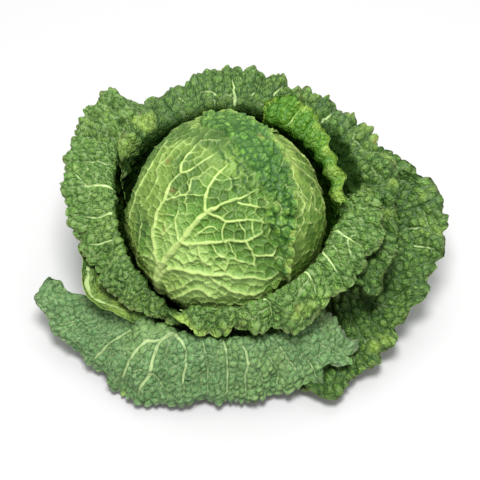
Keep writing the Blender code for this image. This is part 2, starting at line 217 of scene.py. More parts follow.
HEAD_LEAVES = (
    HeadLeaf("head_leaf_right_back", 67.4, (
        ((5, -52), (22, -50), (40, -52)), ((342, -22), (22, -24), (62, -22)),
        ((336, 10), (24, 8), (74, 10)), ((334, 45), (28, 42), (84, 44)), ((300, 74), (60, 78), (100, 66)))),
    HeadLeaf("head_leaf_left_back", 67.5, (
        ((150, -52), (168, -50), (186, -52)), ((128, -22), (168, -24), (206, -22)),
        ((122, 10), (168, 10), (210, 10)), ((120, 42), (166, 44), (215, 45)),
        ((100, 66), (150, 72), (230, 72)))),
    HeadLeaf("head_leaf_back", 68.2, (
        ((88, -52), (105, -50), (122, -52)), ((62, -22), (104, -24), (146, -22)),
        ((54, 8), (102, 8), (154, 10)), ((50, 38), (98, 42), (156, 42)), ((40, 62), (95, 72), (190, 68)))),
    HeadLeaf("head_leaf_right_front", 68.6, (
        ((290, -52), (306, -50), (322, -52)), ((268, -22), (306, -24), (342, -24)),
        ((262, 10), (307, 8), (355, 8)), ((262, 45), (310, 42), (2, 44)), ((230, 72), (330, 76), (28, 70)))),
    HeadLeaf("head_leaf_main", 72.8, (
        ((204, -50), (211, -48), (217, -46), (223, -48), (230, -50)),
        ((186, -28), (206, -20), (224, -15), (238, -22), (254, -33)),
        ((184, 0), (207, 10), (230, 13), (251, 2), (273, -15)),
        ((184, 24), (212, 37), (240, 38), (268, 24), (294, -2)),
        ((160, 40), (200, 62), (258, 55), (282, 39), (303, 12)),
        ((128, 46), (84, 56), (5, 62), (333, 50), (313, 31)))),
)

# Each loose leaf's blisters: how far apart they are in millimetres, how high against the average, and how far
# up the blade from the head its painted shade reaches, as a power, where 0 means that it has none.
BLISTERS = {
    "wrapper_right_low": (5.6, 1.15, 3), "wrapper_front": (4.2, 0.7, 0), "wrapper_back_low": (6.0, 1.0, 2),
    "wrapper_left_low": (9.0, 0.25, 1), "wrapper_left": (4.8, 0.8, 0.4), "wrapper_right_back": (6.2, 1.3, 6),
    "wrapper_back": (6.0, 0.9, 0.9), "wrapper_right_front": (6.2, 0.95, 0), "wrapper_inner": (4.2, 0.95, 0.5)}

# Veins that the photograph shows, by leaf. Each is its width at its start and at its end in millimetres, then
# the pixels that it passes over. They are laid onto the leaf where the camera sees those pixels.
PHOTO_VEINS = {
    "head_leaf_main": {
        "midrib": (5.6, 1.6, ((156, 292), (156, 281), (160, 267), (167, 257), (179, 242), (189, 230),
            (205, 214), (222, 205), (242, 197), (259, 189))),
        "left_main": (3.2, 1.5, ((157, 263), (154, 249), (153, 234), (155, 221), (158, 210), (165, 198),
            (168, 190), (174, 179), (180, 172))),
        "left_main_fork": (1.5, 0.9, ((180, 172), (194, 167), (208, 158), (219, 151))),
        "left_main_tip": (1.5, 0.7, ((180, 172), (182, 162), (189, 153), (201, 152))),
        "left_top": (0.9, 0.6, ((189, 153), (200, 142), (222, 140))),
        "left_edge": (1.4, 1.2, ((128, 226), (133, 204), (139, 186), (149, 169), (155, 157), (167, 141))),
        "left_second": (0.9, 0.8, ((141, 206), (149, 194), (157, 180), (157, 169), (171, 153), (181, 143),
            (194, 135))),
        "left_loop": (0.8, 0.8, ((139, 211), (141, 223), (139, 235), (138, 248), (136, 257), (139, 268),
            (150, 278))),
        "left_loop_bar": (0.7, 0.7, ((136, 257), (145, 256), (153, 261))),
        "left_cross": (0.8, 0.7, ((154, 232), (161, 235), (167, 230), (172, 224))),
        "left_cross_high": (0.7, 0.6, ((158, 213), (167, 215), (174, 215))),
        "left_inner": (1.4, 0.8, ((178, 240), (175, 222), (178, 212), (178, 198))),
        "left_inner_top": (1.1, 0.8, ((167, 200), (178, 196), (187, 193), (192, 178), (201, 176))),
        "left_inner_bar": (0.7, 0.6, ((187, 194), (204, 195))),
        "upper": (2.2, 1.0, ((205, 214), (205, 200), (210, 185), (218, 175), (222, 169), (229, 163))),
        "upper_bar": (0.9, 0.6, ((214, 179), (229, 179), (241, 176))),
        "right_high": (1.0, 0.8, ((238, 202), (248, 205), (260, 207), (270, 208))),
        "right_upper": (1.7, 1.1, ((210, 214), (218, 218), (226, 221), (242, 220), (257, 221), (269, 225))),
        "right_upper_drop": (1.0, 0.9, ((226, 221), (222, 233), (223, 242))),
        "right_upper_drop_two": (0.8, 0.8, ((239, 222), (245, 233), (245, 240))),
        "right_upper_drop_three": (0.8, 0.8, ((252, 222), (254, 233), (254, 238))),
        "right_main": (2.4, 1.3, ((180, 243), (198, 244), (222, 242), (244, 241), (257, 236), (268, 228))),
        "right_main_fork": (1.2, 1.1, ((246, 241), (251, 250), (255, 256), (271, 256), (277, 249))),
        "right_net_one": (0.9, 0.8, ((194, 236), (201, 231), (211, 227), (219, 231))),
        "right_net_two": (0.9, 0.8, ((197, 246), (201, 258), (210, 266), (216, 258), (227, 260))),
        "right_net_three": (0.9, 0.9, ((212, 244), (217, 255), (227, 260), (225, 271), (223, 275))),
        "right_net_four": (0.8, 0.8, ((229, 243), (232, 251), (236, 258), (227, 260))),
        "right_net_five": (0.8, 0.8, ((233, 259), (242, 262), (254, 264))),
        "right_net_six": (0.9, 0.8, ((254, 256), (255, 268), (255, 278))),
        "right_net_seven": (0.9, 0.8, ((173, 258), (184, 263), (198, 260), (204, 265))),
        "right_net_eight": (0.8, 0.8, ((184, 263), (184, 269))),
        "right_low": (2.6, 1.4, ((158, 279), (163, 272), (170, 269), (182, 269), (192, 272), (208, 275),
            (223, 275), (239, 278), (257, 278), (270, 279), (279, 272))),
        "right_low_fork": (1.5, 1.0, ((208, 275), (216, 284), (229, 290), (242, 294), (255, 295),
            (266, 291))),
        "right_lowest": (1.8, 1.4, ((172, 300), (189, 292), (201, 290), (207, 294), (219, 303))),
        "right_lowest_bar": (0.9, 0.8, ((168, 292), (181, 288), (190, 281))),
    },
    "head_leaf_right_front": {
        "edge": (1.3, 1.0, ((264, 141), (278, 151), (293, 163), (308, 175), (318, 183), (324, 192))),
        "high": (0.9, 0.7, ((293, 166), (294, 178), (296, 182), (302, 191), (303, 198))),
        "middle": (1.0, 0.8, ((289, 189), (295, 190), (300, 195), (305, 204), (303, 213), (305, 223),
            (299, 232), (296, 239))),
        "right": (0.8, 0.6, ((312, 197), (309, 211), (312, 223))),
        "far_right": (0.8, 0.6, ((321, 197), (325, 208), (326, 218))),
        "low_bar": (0.7, 0.6, ((305, 222), (314, 223), (323, 219))),
    },
    "wrapper_front": {
        "forked": (2.7, 1.5, ((173, 333), (162, 341), (154, 359), (151, 372), (141, 387), (140, 399))),
        "forked_right": (1.3, 0.8, ((151, 372), (160, 383), (167, 399))),
        "left": (1.9, 1.1, ((162, 340), (147, 342), (134, 355), (123, 374), (117, 390))),
        "middle": (2.0, 1.1, ((173, 333), (184, 344), (186, 359), (184, 379), (185, 405))),
        "far_left": (1.6, 1.0, ((129, 330), (110, 344), (91, 364))),
        "far_left_fork": (1.1, 0.8, ((110, 344), (113, 355), (108, 373))),
        "cross_left": (0.8, 0.6, ((134, 371), (144, 369), (152, 371))),
        "cross_right": (0.8, 0.6, ((170, 368), (179, 364), (187, 362))),
        "cross_far_left": (0.7, 0.6, ((113, 353), (122, 352), (131, 355))),
        "thin_high": (0.8, 0.5, ((86, 326), (72, 334))),
        "thin_highest": (0.7, 0.5, ((76, 322), (56, 323))),
        "thin": (1.1, 0.7, ((203, 342), (207, 363), (207, 394))),
        "right_one": (1.4, 0.9, ((223, 342), (227, 359), (228, 381), (227, 399))),
        "right_two": (1.4, 0.9, ((243, 346), (247, 359), (245, 377), (244, 399))),
        "right_two_fork": (0.9, 0.7, ((247, 359), (260, 372), (265, 392))),
        "right_three": (0.8, 0.6, ((269, 357), (279, 374), (275, 389))),
        "right_four": (1.2, 0.7, ((279, 346), (290, 361), (299, 374))),
        "right_five": (1.1, 0.7, ((320, 345), (332, 351), (342, 357))),
        "right_six": (0.9, 0.7, ((300, 352), (312, 366), (318, 379))),
    },
    "wrapper_right_front": {
        "high": (1.5, 0.8, ((325, 230), (335, 231), (348, 238), (359, 243), (363, 249))),
        "high_fork": (1.0, 0.6, ((348, 238), (349, 250), (351, 259))),
        "high_branch": (0.7, 0.5, ((348, 238), (359, 236), (369, 234))),
        "middle": (1.4, 0.7, ((315, 241), (319, 250), (328, 261), (335, 271), (344, 278))),
        "low": (1.3, 0.7, ((299, 267), (307, 275), (313, 288), (316, 296))),
        "lowest": (0.9, 0.6, ((262, 292), (270, 305), (272, 322))),
    },
    "wrapper_left_low": {
        "midrib": (2.6, 1.3, ((86, 269), (94, 290), (109, 304), (128, 313))),
        "branch": (1.1, 0.7, ((92, 273), (104, 283))),
    },
    "wrapper_left": {
        "top": (0.8, 0.5, ((96, 137), (89, 136), (82, 135))),
        "high": (0.8, 0.5, ((109, 165), (92, 163), (73, 161))),
        "middle": (1.7, 0.8, ((112, 189), (104, 186), (86, 187), (68, 190))),
        "middle_fork": (0.9, 0.6, ((86, 186), (81, 180), (76, 175))),
        "low": (1.3, 0.7, ((111, 214), (101, 217), (90, 217), (78, 214))),
        "lowest": (1.2, 0.6, ((112, 240), (104, 243), (96, 244), (86, 243))),
    },
    "wrapper_back": {
        "centre": (2.0, 1.2, ((235, 104), (234, 90), (232, 76))),
        "centre_fork": (0.9, 0.6, ((233, 90), (228, 87), (223, 84))),
        "left": (1.2, 0.7, ((217, 96), (209, 92), (202, 92), (195, 94))),
        "far_left": (1.0, 0.6, ((185, 102), (180, 99), (176, 96))),
        "right": (0.9, 0.6, ((252, 98), (254, 94), (257, 90))),
        "far_right": (1.1, 0.6, ((272, 98), (278, 92), (285, 85))),
    },
    "wrapper_right_back": {
        "high": (1.2, 0.7, ((321, 123), (327, 115), (336, 110))),
    },
    "wrapper_inner": {
        "high": (1.1, 0.6, ((281, 126), (287, 125), (293, 118), (302, 106))),
    },
    "wrapper_right_low": {
        "middle": (1.2, 0.7, ((414, 246), (425, 248), (438, 250))),
        "high": (1.0, 0.6, ((410, 229), (418, 228), (426, 228))),
    },
}

# Where the rim of the main head leaf turns over, and the deep folds beside it, which are sunk and painted dark
# as shade, in the photograph's pixels.
ROLLED_CREASE = (
    (198, 122), (207, 127), (217, 129), (227, 131), (234, 142), (238, 153), (245, 163), (256, 175),
    (262, 185), (268, 199), (271, 209), (268, 222), (276, 233), (279, 244), (281, 256), (279, 266))
HEAD_FOLDS = (
    ((226, 131), (231, 138), (235, 145)), ((229, 145), (233, 152), (238, 156)),
    ((220, 150), (224, 157), (230, 161)), ((236, 159), (241, 163), (246, 167)),
    ((244, 166), (248, 171), (252, 176)), ((232, 176), (234, 184), (236, 192)),
    ((244, 178), (248, 184), (251, 190)), ((238, 165), (239, 173)), ((262, 206), (267, 212)),
    ((273, 228), (277, 235), (278, 243)), ((282, 262), (284, 268)))

# Yellow-green and brown marks by leaf: pixel of the photograph, radius in millimetres, strength from 0 to 1.
PALE_MARKS = {
    "head_leaf_main": ((173, 122, 3.5, 0.5), (194, 125, 3, 0.5), (199, 117, 3, 0.5), (262, 139, 2.5, 0.5),
        (291, 245, 5, 0.5), (288, 262, 5, 0.5), (233, 113, 4, 0.5), (277, 205, 3, 0.4)),
    "wrapper_right_front": ((176, 321, 5, 0.9), (184, 326, 5, 1.0), (190, 333, 6, 1.0), (199, 338, 5, 0.8),
        (215, 337, 4, 0.7), (228, 327, 4, 0.7), (372, 188, 4, 0.5), (376, 192, 3, 0.6),
        (300, 312, 7, 0.5), (310, 306, 5, 0.4)),
    "wrapper_right_low": ((423, 195, 4, 0.4), (374, 348, 5, 0.7), (385, 340, 5, 0.5), (441, 232, 4, 0.5)),
    "wrapper_right_back": ((352, 118, 4, 0.5), (365, 132, 5, 0.5), (374, 142, 4, 0.6), (388, 160, 6, 0.5),
        (393, 185, 6, 0.5), (388, 215, 6, 0.4)),
    "wrapper_front": ((118, 399, 3, 0.6),),
    "wrapper_inner": ((305, 107, 6, 0.5), (318, 125, 5, 0.5), (328, 150, 5, 0.6), (333, 172, 6, 0.6),
        (338, 196, 6, 0.7)),
    "wrapper_back": ((146, 124, 7, 0.8), (137, 119, 4, 0.7), (124, 148, 11, 0.45), (222, 68, 5, 0.4),
        (247, 70, 4, 0.4)),
    "wrapper_left": ((118, 165, 4, 0.4), (75, 168, 3, 0.3)),
    "wrapper_left_low": ((86, 252, 9, 0.9), (95, 290, 14, 0.45), (118, 308, 12, 0.6)),
}
BROWN_MARKS = {
    "head_leaf_main": ((172, 190, 2.2, 0.8), (166, 160, 2.5, 0.8), (163, 229, 2.2, 0.8),
        (260, 137, 1.8, 0.8)),
    "wrapper_right_front": ((366, 190, 1.5, 0.7), (372, 189, 1.5, 0.7), (240, 321, 2, 0.5),
        (295, 306, 2, 0.5)),
    "wrapper_right_back": ((363, 131, 2, 0.7), (376, 143, 2, 0.7)),
}

# Painted shade, dark green, deep between leaves and under overhangs: pixel of the photograph, radius in
# millimetres and strength from 0 to 1.
PAINTED_SHADE_MARKS = {
    "head_leaf_main": ((222, 129, 9, 0.64), (240, 128, 8, 0.6), (205, 117, 6, 0.55)),
    "head_leaf_right_front": ((276, 133, 6, 0.5), (284, 141, 7, 0.5), (297, 151, 7, 0.5), (309, 163, 7, 0.5),
        (319, 176, 6, 0.5), (326, 190, 5, 0.45), (314, 236, 9, 0.35), (300, 256, 10, 0.4)),
    "head_leaf_right_back": ((276, 133, 6, 0.55), (284, 141, 7, 0.55), (297, 151, 7, 0.55),
        (309, 163, 7, 0.55), (319, 176, 6, 0.55), (326, 190, 5, 0.5), (329, 205, 5, 0.4)),
    "wrapper_right_back": ((336, 140, 5, 0.8), (343, 152, 8, 1.0), (348, 166, 9, 1.0), (354, 180, 8, 1.0)),
    "wrapper_right_low": ((318, 335, 10, 0.75), (330, 322, 13, 0.75), (350, 318, 13, 0.75),
        (367, 306, 12, 0.8), (382, 286, 9, 0.8), (390, 262, 7, 0.8), (392, 240, 5, 0.8)),
    "wrapper_right_front": ((336, 212, 7, 1.0), (339, 203, 6, 1.0)),
    "wrapper_inner": ((337, 212, 8, 1.0), (335, 219, 8, 1.0), (333, 226, 8, 1.0)),
    "wrapper_back": ((124, 163, 7, 0.9), (126, 178, 7, 1.0), (127, 192, 6, 1.0), (129, 204, 6, 1.0)),
    "wrapper_left": ((122, 122, 5, 0.8), (126, 142, 5, 0.9), (124, 160, 5, 0.9), (114, 106, 10, 0.66),
        (96, 118, 12, 0.66), (106, 134, 10, 0.64), (92, 132, 10, 0.6)),
}

# Notches in the rims: pixel of the photograph, then depth and half width in millimetres, below 0 for a lobe.
RIM_NOTCHES = {
    "wrapper_front": ((357, 339, -5, 4), (347, 350, 9, 3.5), (350, 361, -5, 4), (330, 371, 9, 4.5),
        (321, 383, -6, 4), (104, 378, 3, 4)),
    "wrapper_right_low": ((440, 210, 4, 3), (443, 232, 4, 3), (436, 260, 5, 3), (426, 278, 5, 4),
        (413, 304, 4, 3), (400, 328, 6, 4), (382, 352, 6, 4), (330, 398, -6, 16), (425, 170, 3, 4)),
    "wrapper_left": ((101, 104, 4, 3), (84, 117, 3, 3), (72, 150, 4, 3), (66, 180, 3, 3), (124, 96, 4, 4)),
    "wrapper_right_back": ((355, 124, 3, 3), (378, 149, 4, 3), (330, 108, 3, 3)),
    "wrapper_back": ((163, 95, 4, 4), (228, 58, 7, 16), (276, 70, 4, 6), (205, 72, 3, 3), (260, 76, 4, 4),
        (292, 86, 4, 4)),
    "wrapper_right_front": ((232, 325, 4, 5), (385, 225, 3, 3), (372, 262, 3, 3)),
}

# Head leaves whose outer face shows are pale, and wrapper leaves show the darker inner face.
HEAD_OUTER = Palette((0.315, 0.42, 0.125), (0.3, 0.435, 0.125), (0.074, 0.172, 0.02))
PALE_OUTER = Palette((0.34, 0.43, 0.135), (0.235, 0.335, 0.064), (0.06, 0.135, 0.014))
WRAPPER_OUTER = Palette((0.329, 0.443, 0.157), (0.171, 0.329, 0.05), (0.071, 0.193, 0.021))
WRAPPER_INNER = Palette(
    (0.329, 0.443, 0.171), (0.14, 0.276, 0.048), (0.02, 0.06, 0.008), (0.065, 0.07, 0.028))
LIGHT_INNER = Palette((0.34, 0.46, 0.17), (0.136, 0.28, 0.046), (0.028, 0.08, 0.009), (0.09, 0.11, 0.036))
WAXY_INNER = Palette((0.29, 0.39, 0.166), (0.152, 0.315, 0.109), (0.04, 0.098, 0.028), (0.075, 0.085, 0.055))
BRIGHT_INNER = Palette(
    (0.343, 0.471, 0.129), (0.185, 0.355, 0.035), (0.036, 0.121, 0.006), (0.171, 0.243, 0.029))
ROLLED_INNER = Palette((0.329, 0.429, 0.143), (0.1, 0.24, 0.025), (0.012, 0.058, 0.004), (0.214, 0.3, 0.057))
YOUNG = (0.25, 0.37, 0.065)
SCAR = (0.12, 0.08, 0.02)
FIBRE_DARK = (0.42, 0.42, 0.18)
FIBRE_PALE = (0.66, 0.64, 0.38)
DRIED = (0.38, 0.28, 0.13)


def smoothstep(share):
    share = np.clip(share, 0.0, 1.0)
    return share * share * (3.0 - 2.0 * share)


def along_stations(stations, azimuths):
    """The other columns of the stations at these azimuths, on one smooth curve through the rows."""
    table = np.array(stations, float)
    knots, values = table[:, 0], table[:, 1:]
    slopes = np.gradient(values, knots, axis=0)
    span = np.clip(np.searchsorted(knots, azimuths) - 1, 0, len(knots) - 2)
    width = (knots[span + 1] - knots[span])[:, None]
    t = np.clip((azimuths - knots[span])[:, None] / width, 0.0, 1.0)
    start, end = values[span], values[span + 1]
    rise = smoothstep(t)
    return (
        start * (1.0 - rise)
        + end * rise
        + width * slopes[span] * t * (1.0 - t) ** 2
        - width * slopes[span + 1] * t * t * (1.0 - t)
    ).T


def bezier(start, out, back, end, t):
    return (1 - t) ** 3 * start + 3 * t * (1 - t) ** 2 * out + 3 * t * t * (1 - t) * back + t**3 * end


def hug_radius(leaf, gap, angle):
    """Distance from the head's centre of a blade that hugs it, at this angle up from straight below."""
    at_stalk = math.hypot(STALK_RADIUS + CLEARANCE, HEAD_CENTRE_Z - leaf.base_z)
    return at_stalk + (HEAD_RADIUS + gap - at_stalk) * smoothstep(angle / 1.15)


def wrapper_surface(leaf, u, v):
    """Points of a wrapper leaf's smooth inner face, and how free of the head the blade is there, 0 to 1."""
    first, last = leaf.stations[0][0], leaf.stations[-1][0]
    middle = leaf.midrib if first < leaf.midrib < last else leaf.midrib + 360.0
    azimuth = np.where(u < 0, middle + u * (middle - first), middle + u * (last - middle))
    gap, latitude, rim_r, rim_z, rim_slope = along_stations(leaf.stations, azimuth)
    base_angle = math.atan2(STALK_RADIUS + CLEARANCE, HEAD_CENTRE_Z - leaf.base_z)
    fold_angle = np.radians(latitude + 90.0)
    fold_rho = hug_radius(leaf, gap, fold_angle)
    fold_r, fold_z = fold_rho * np.sin(fold_angle), HEAD_CENTRE_Z - fold_rho * np.cos(fold_angle)
    lip_length = np.hypot(rim_r - fold_r, rim_z - fold_z)
    hug_length = (fold_angle - base_angle) * fold_rho
    fold_v = hug_length / (hug_length + 1.1 * lip_length)

    angle = base_angle + (fold_angle - base_angle) * np.clip(v / fold_v, 0.0, 1.0)
    rho = hug_radius(leaf, gap, angle)
    lip = np.clip((v - fold_v) / (1.0 - fold_v), 0.0, 1.0)
    reach = 0.42 * lip_length
    slope = np.radians(rim_slope)
    lip_r = bezier(fold_r, fold_r + reach * np.cos(fold_angle), rim_r - reach * np.cos(slope), rim_r, lip)
    lip_z = bezier(fold_z, fold_z + reach * np.sin(fold_angle), rim_z - reach * np.sin(slope), rim_z, lip)
    radius = np.where(v < fold_v, rho * np.sin(angle), lip_r)
    height = np.where(v < fold_v, HEAD_CENTRE_Z - rho * np.cos(angle), lip_z)
    spread = PETIOLE_SQUEEZE + (1.0 - PETIOLE_SQUEEZE) * smoothstep(v / 0.55)
    turned = np.radians(middle + (azimuth - middle) * spread)
    points = np.stack([radius * np.cos(turned), radius * np.sin(turned), height], axis=1)
    return points, smoothstep((v - fold_v) / 0.2)


def spline(values, share):
    """Values spaced evenly over 0 to 1, on one smooth curve, at a share of it for each of their columns."""
    last = len(values) - 1
    span = np.clip((share * last).astype(int), 0, last - 1)
    t = (share * last - span)[:, None]
    each = np.arange(len(share))
    before, start = values[np.maximum(span - 1, 0), each], values[span, each]
    end, after = values[span + 1, each], values[np.minimum(span + 2, last), each]
    return 0.5 * (
        2.0 * start
        + (end - before) * t
        + (2.0 * before - 5.0 * start + 4.0 * end - after) * t**2
        + (3.0 * start - before - 3.0 * end + after) * t**3
    )


def curve_through(points, count):
    """This many points along one smooth curve through the given ones."""
    shares = np.linspace(0.0, 1.0, count)
    return spline(np.repeat(np.array(points, float)[:, None], count, axis=1), shares)


def head_leaf_surface(leaf, u, v):
    """Points of a head leaf's smooth outer face, whose margins lift a little off the leaf beneath."""
    azimuth, latitude = np.radians(np.array(leaf.net, float)).transpose(2, 0, 1)
    level = np.cos(latitude)
    net = np.stack([level * np.cos(azimuth), level * np.sin(azimuth), np.sin(latitude)], axis=-1)
    rows = np.stack([spline(np.repeat(row[:, None], len(u), axis=1), (u + 1.0) / 2.0) for row in net])
    points = spline(rows, np.clip(v, 0.0, 1.0))
    points /= np.linalg.norm(points, axis=1)[:, None]
    rim = np.maximum(np.abs(u) ** 6, v**10)
    points *= (leaf.radius + HEAD_RIM_LIFT * rim)[:, None]
    return points + np.array([0.0, 0.0, HEAD_CENTRE_Z]), np.ones(len(u))


def outward_normals(surface, leaf, u, v):
    step = 1e-3
    left, right = np.maximum(u - step, -1.0), np.minimum(u + step, 1.0)
    low, high = np.maximum(v - step, 0.0), np.minimum(v + step, 1.0)
    across = surface(leaf, right, v)[0] - surface(leaf, left, v)[0]
    along = surface(leaf, u, high)[0] - surface(leaf, u, low)[0]
    normal = np.cross(across, along)
    return normal / np.linalg.norm(normal, axis=1)[:, None], along / np.linalg.norm(along, axis=1)[:, None]


def wobble(points, size, seed):
    """Smooth noise from about -1 to 1 over these points, with lumps about this many millimetres across."""
    shift = Vector((seed * 17.3, seed * 5.9, seed * 11.1))
    return np.array([noise.noise(Vector(point) / size + shift) for point in points])


def jostled(points, size, amount):
    """The points moved by smooth noise in all directions, up to about this many millimetres."""
    return points + amount * np.array([noise.noise_vector(Vector(point) / size) for point in points])


def seen_at(points, pixels):
    """For each pixel of the photograph, the index of the point that the camera sees nearest to it."""
    forward = CAMERA_TARGET - CAMERA_PLACE
    forward /= np.linalg.norm(forward)
    right = np.cross(forward, (0.0, 0.0, 1.0))
    right /= np.linalg.norm(right)
    up = np.cross(right, forward)
    from_camera = points - CAMERA_PLACE
    depth = from_camera @ forward
    scale = PHOTO_PIXELS * CAMERA_LENS / SENSOR / depth
    across = PHOTO_PIXELS / 2 + from_camera @ right * scale
    down = PHOTO_PIXELS / 2 - from_camera @ up * scale
    # A pixel counts as much as 4 mm of depth, so that a near layer wins over a far one behind it.
    per_pixel, per_millimetre = 2.0, 0.5
    behind = (depth - depth.min()) * per_millimetre
    return [np.argmin(np.hypot(across - x, down - y) * per_pixel + behind) for x, y in pixels]


def vein_line(surface, leaf, path, start_width, end_width, pale):
    """The vein along these (u, v) places."""
    count = 160
    u, v = np.clip(curve_through(path, count), (-1.0, 0.0), (1.0, 1.0)).T
    points = surface(leaf, u, v)[0]
    normals = outward_normals(surface, leaf, u, v)[0]
    share = np.linspace(0.0, 1.0, count)
    taper = 1.0 - 0.7 * smoothstep((share - 0.7) / 0.3)
    uneven = 1.0 + 0.4 * wobble(points, 6.0, 4)
    half_widths = (start_width + (end_width - start_width) * share) * taper * uneven / 2.0
    return Line(jostled(points, 6.0, 0.8), normals, half_widths, pale * taper)


def photo_veins(surface, leaf, u, v, points):
    """The veins that the photograph shows on this leaf, and where each ends across the leaf."""
    lines, ends = [], []
    for start_width, end_width, pixels in PHOTO_VEINS.get(leaf.name, {}).values():
        seen = seen_at(points, pixels)
        path = np.stack([u[seen], v[seen]], axis=1)
        lines.append(vein_line(surface, leaf, path, start_width, end_width, 1.0))
        ends.append(path[-1, 0])
    return lines, ends


def fan_veins(surface, leaf, rng, count, taken, base_width):
    """A midrib, and lateral veins that leave it alternately and sweep up to the rim, each forking once. They
    are faint on a leaf whose veins the photograph shows."""
    plain = 0.3 if taken else 1.0
    clearance, bends, top = 0.12, 6, 0.985
    lines = [vein_line(surface, leaf, ((0.0, 0.0), (0.0, 0.5), (0.0, 0.9)), base_width, 1.0, 0.8 * plain)]
    for side in (-1.0, 1.0):
        for index in range(count):
            root = 0.08 + 0.82 * (index + 0.25 + 0.25 * side) / count + rng.uniform(-0.02, 0.02)
            reach = side * (1.0 - root) / 0.95 * rng.uniform(0.94, 1.06)
            if any(abs(reach - end) < clearance for end in taken):
                continue
            shares = np.linspace(0.0, 1.0, bends)
            bend = rng.normal(0.0, 0.012, bends)
            path = np.stack([reach * shares**0.62 + bend, root + (top - root) * shares**1.2], axis=1)
            path[0] = (0.0, root)
            width = 2.0 - 1.0 * root
            lines.append(vein_line(surface, leaf, path, width, 0.6, 0.35 * plain))
            fork = path[3]
            tip = (reach * 0.72 ** (1.0 if index % 2 else -0.5) + 0.02 * side, 0.98)
            middle = (fork + np.array(tip)) / 2.0 + (0.02 * side, -0.02)
            lines.append(vein_line(surface, leaf, (fork, middle, tip), 0.8, 0.5, 0.2 * plain))
    return lines


def tree_of(targets):
    tree = KDTree(len(targets))
    for index, target in enumerate(targets):
        tree.insert(target, index)
    tree.balance()
    return tree


def nearest(targets, points):
    """The index of the nearest target to each point, and its distance."""
    tree = tree_of(targets)
    found = [tree.find(point)[1:] for point in points]
    return np.array([index for index, _ in found]), np.array([distance for _, distance in found])


def spread_out(candidates, spacings, kept):
    """Adds each candidate in turn to the kept points where none of them is nearer than its spacing."""
    places = np.empty((len(kept) + len(candidates), 3))
    count = len(kept)
    places[:count] = kept
    for candidate, spacing in zip(candidates, spacings):
        if count == 0 or ((places[:count] - candidate) ** 2).sum(axis=1).min() > spacing**2:
            places[count] = candidate
            count += 1
    return places[:count]


def cell_seeds(points, lines, cell, rng):
    """One seed for each blister: pairs either side of every vein, then as many more as fit between them."""
    beside = []
    for line in lines:
        steps = np.linalg.norm(np.diff(line.points, axis=0), axis=1)
        travelled = np.concatenate([[0.0], np.cumsum(steps)])
        for place in np.arange(cell * 0.5, travelled[-1], cell * 1.12):
            index = min(int(np.searchsorted(travelled, place)), len(steps) - 1)
            along = line.points[index + 1] - line.points[index]
            side = np.cross(line.normals[index], along)
            side /= max(np.linalg.norm(side), 1e-9)
            offset = line.half_widths[index] + 0.48 * cell
            beside += [line.points[index] + side * offset, line.points[index] - side * offset]
    seeds = spread_out(np.array(beside), np.full(len(beside), cell * 0.75), np.empty((0, 3)))
    shuffled = points[rng.permutation(len(points))]
    spacings = cell * (1.0 + 0.4 * wobble(shuffled, 30.0, 7) + 0.4 * wobble(shuffled, 10.0, 8))
    return spread_out(shuffled, spacings, seeds)


def cell_distances(points, seeds, patches):
    """Each point's distance to the border of its cell and to that of its patch of cells, and its cell."""
    patch_of, _ = nearest(patches, seeds)
    tree = tree_of(seeds)
    neighbours, far_border, far_patch = 8, 20.0, 12.0
    around = np.array([[found[1] for found in tree.find_n(point, neighbours)] for point in points])
    squares = ((points[:, None, :] - seeds[around]) ** 2).sum(axis=2)
    apart = np.linalg.norm(seeds[around] - seeds[around[:, :1]], axis=2)
    apart[:, 0] = 1.0
    borders = (squares - squares[:, :1]) / (2.0 * apart)
    borders[:, 0] = far_border
    other_patch = patch_of[around] != patch_of[around[:, :1]]
    return borders.min(axis=1), np.where(other_patch, borders, far_patch).min(axis=1), around[:, 0]


def pillow(distance, reach):
    """Rises from 0 at a vein to 1 at this reach from it, steeply first, as a blister does."""
    share = np.clip(distance / reach, 0.0, 1.0)
    return share * (2.0 - share)


class Fields(NamedTuple):
    """What is known at each place of a leaf's grid, lengths in millimetres."""

    vein: np.ndarray
    pale: np.ndarray
    rib: np.ndarray
    branch: np.ndarray
    net: np.ndarray
    edge: np.ndarray
    tone: np.ndarray


def leaf_fields(points, lines, margin, cell, rng):
    """What the veins, the random cells and the margin give at each point."""
    vein_points = np.concatenate([line.points for line in lines])
    half_widths = np.concatenate([line.half_widths for line in lines])
    pale = np.concatenate([line.pale for line in lines])
    at, distance = nearest(vein_points, points)
    half = half_widths[at]
    seeds = cell_seeds(points, lines, cell, rng)
    patches = spread_out(rng.permutation(seeds), np.full(len(seeds), PATCH), np.empty((0, 3)))
    net, branch, cell_of = cell_distances(jostled(points, 5.0, 1.6), seeds, patches)
    tone = rng.uniform(0.0, 1.0, len(seeds))[cell_of]
    rib = half * np.exp(-((distance / (half + 0.35)) ** 2))
    edge = nearest(margin, points)[1]
    return Fields(distance - half, pale[at], rib, branch, net, edge, tone)


def leaf_grid(columns, rows):
    """Places over a leaf, with rows that crowd towards the rim."""
    levels = np.linspace(0.0, 1.0, rows + 1) ** ROOT_CROWDING
    across, level = np.meshgrid(np.linspace(-1.0, 1.0, columns + 1), levels)
    return across.ravel(), level.ravel()


def sheet_faces(columns, rows):
    """Quads of the inner face, then the outer face, then the strip that closes the margin, by grid index."""
    index = np.arange((columns + 1) * (rows + 1)).reshape(rows + 1, columns + 1)
    quads = np.stack([index[:-1, :-1], index[:-1, 1:], index[1:, 1:], index[1:, :-1]], axis=-1).reshape(-1, 4)
    border = np.concatenate([index[0, :-1], index[:-1, -1], index[-1, :0:-1], index[:0:-1, 0]])
    ahead = np.roll(border, -1)
    size = index.size
    strip = np.stack([ahead, border, border + size, ahead + size], axis=-1)
    return np.concatenate([quads[:, ::-1], quads + size, strip]), len(quads)


def put_in_scene(name, data):
    made = bpy.data.objects.new(name, data)
    bpy.context.scene.collection.objects.link(made)
    return made


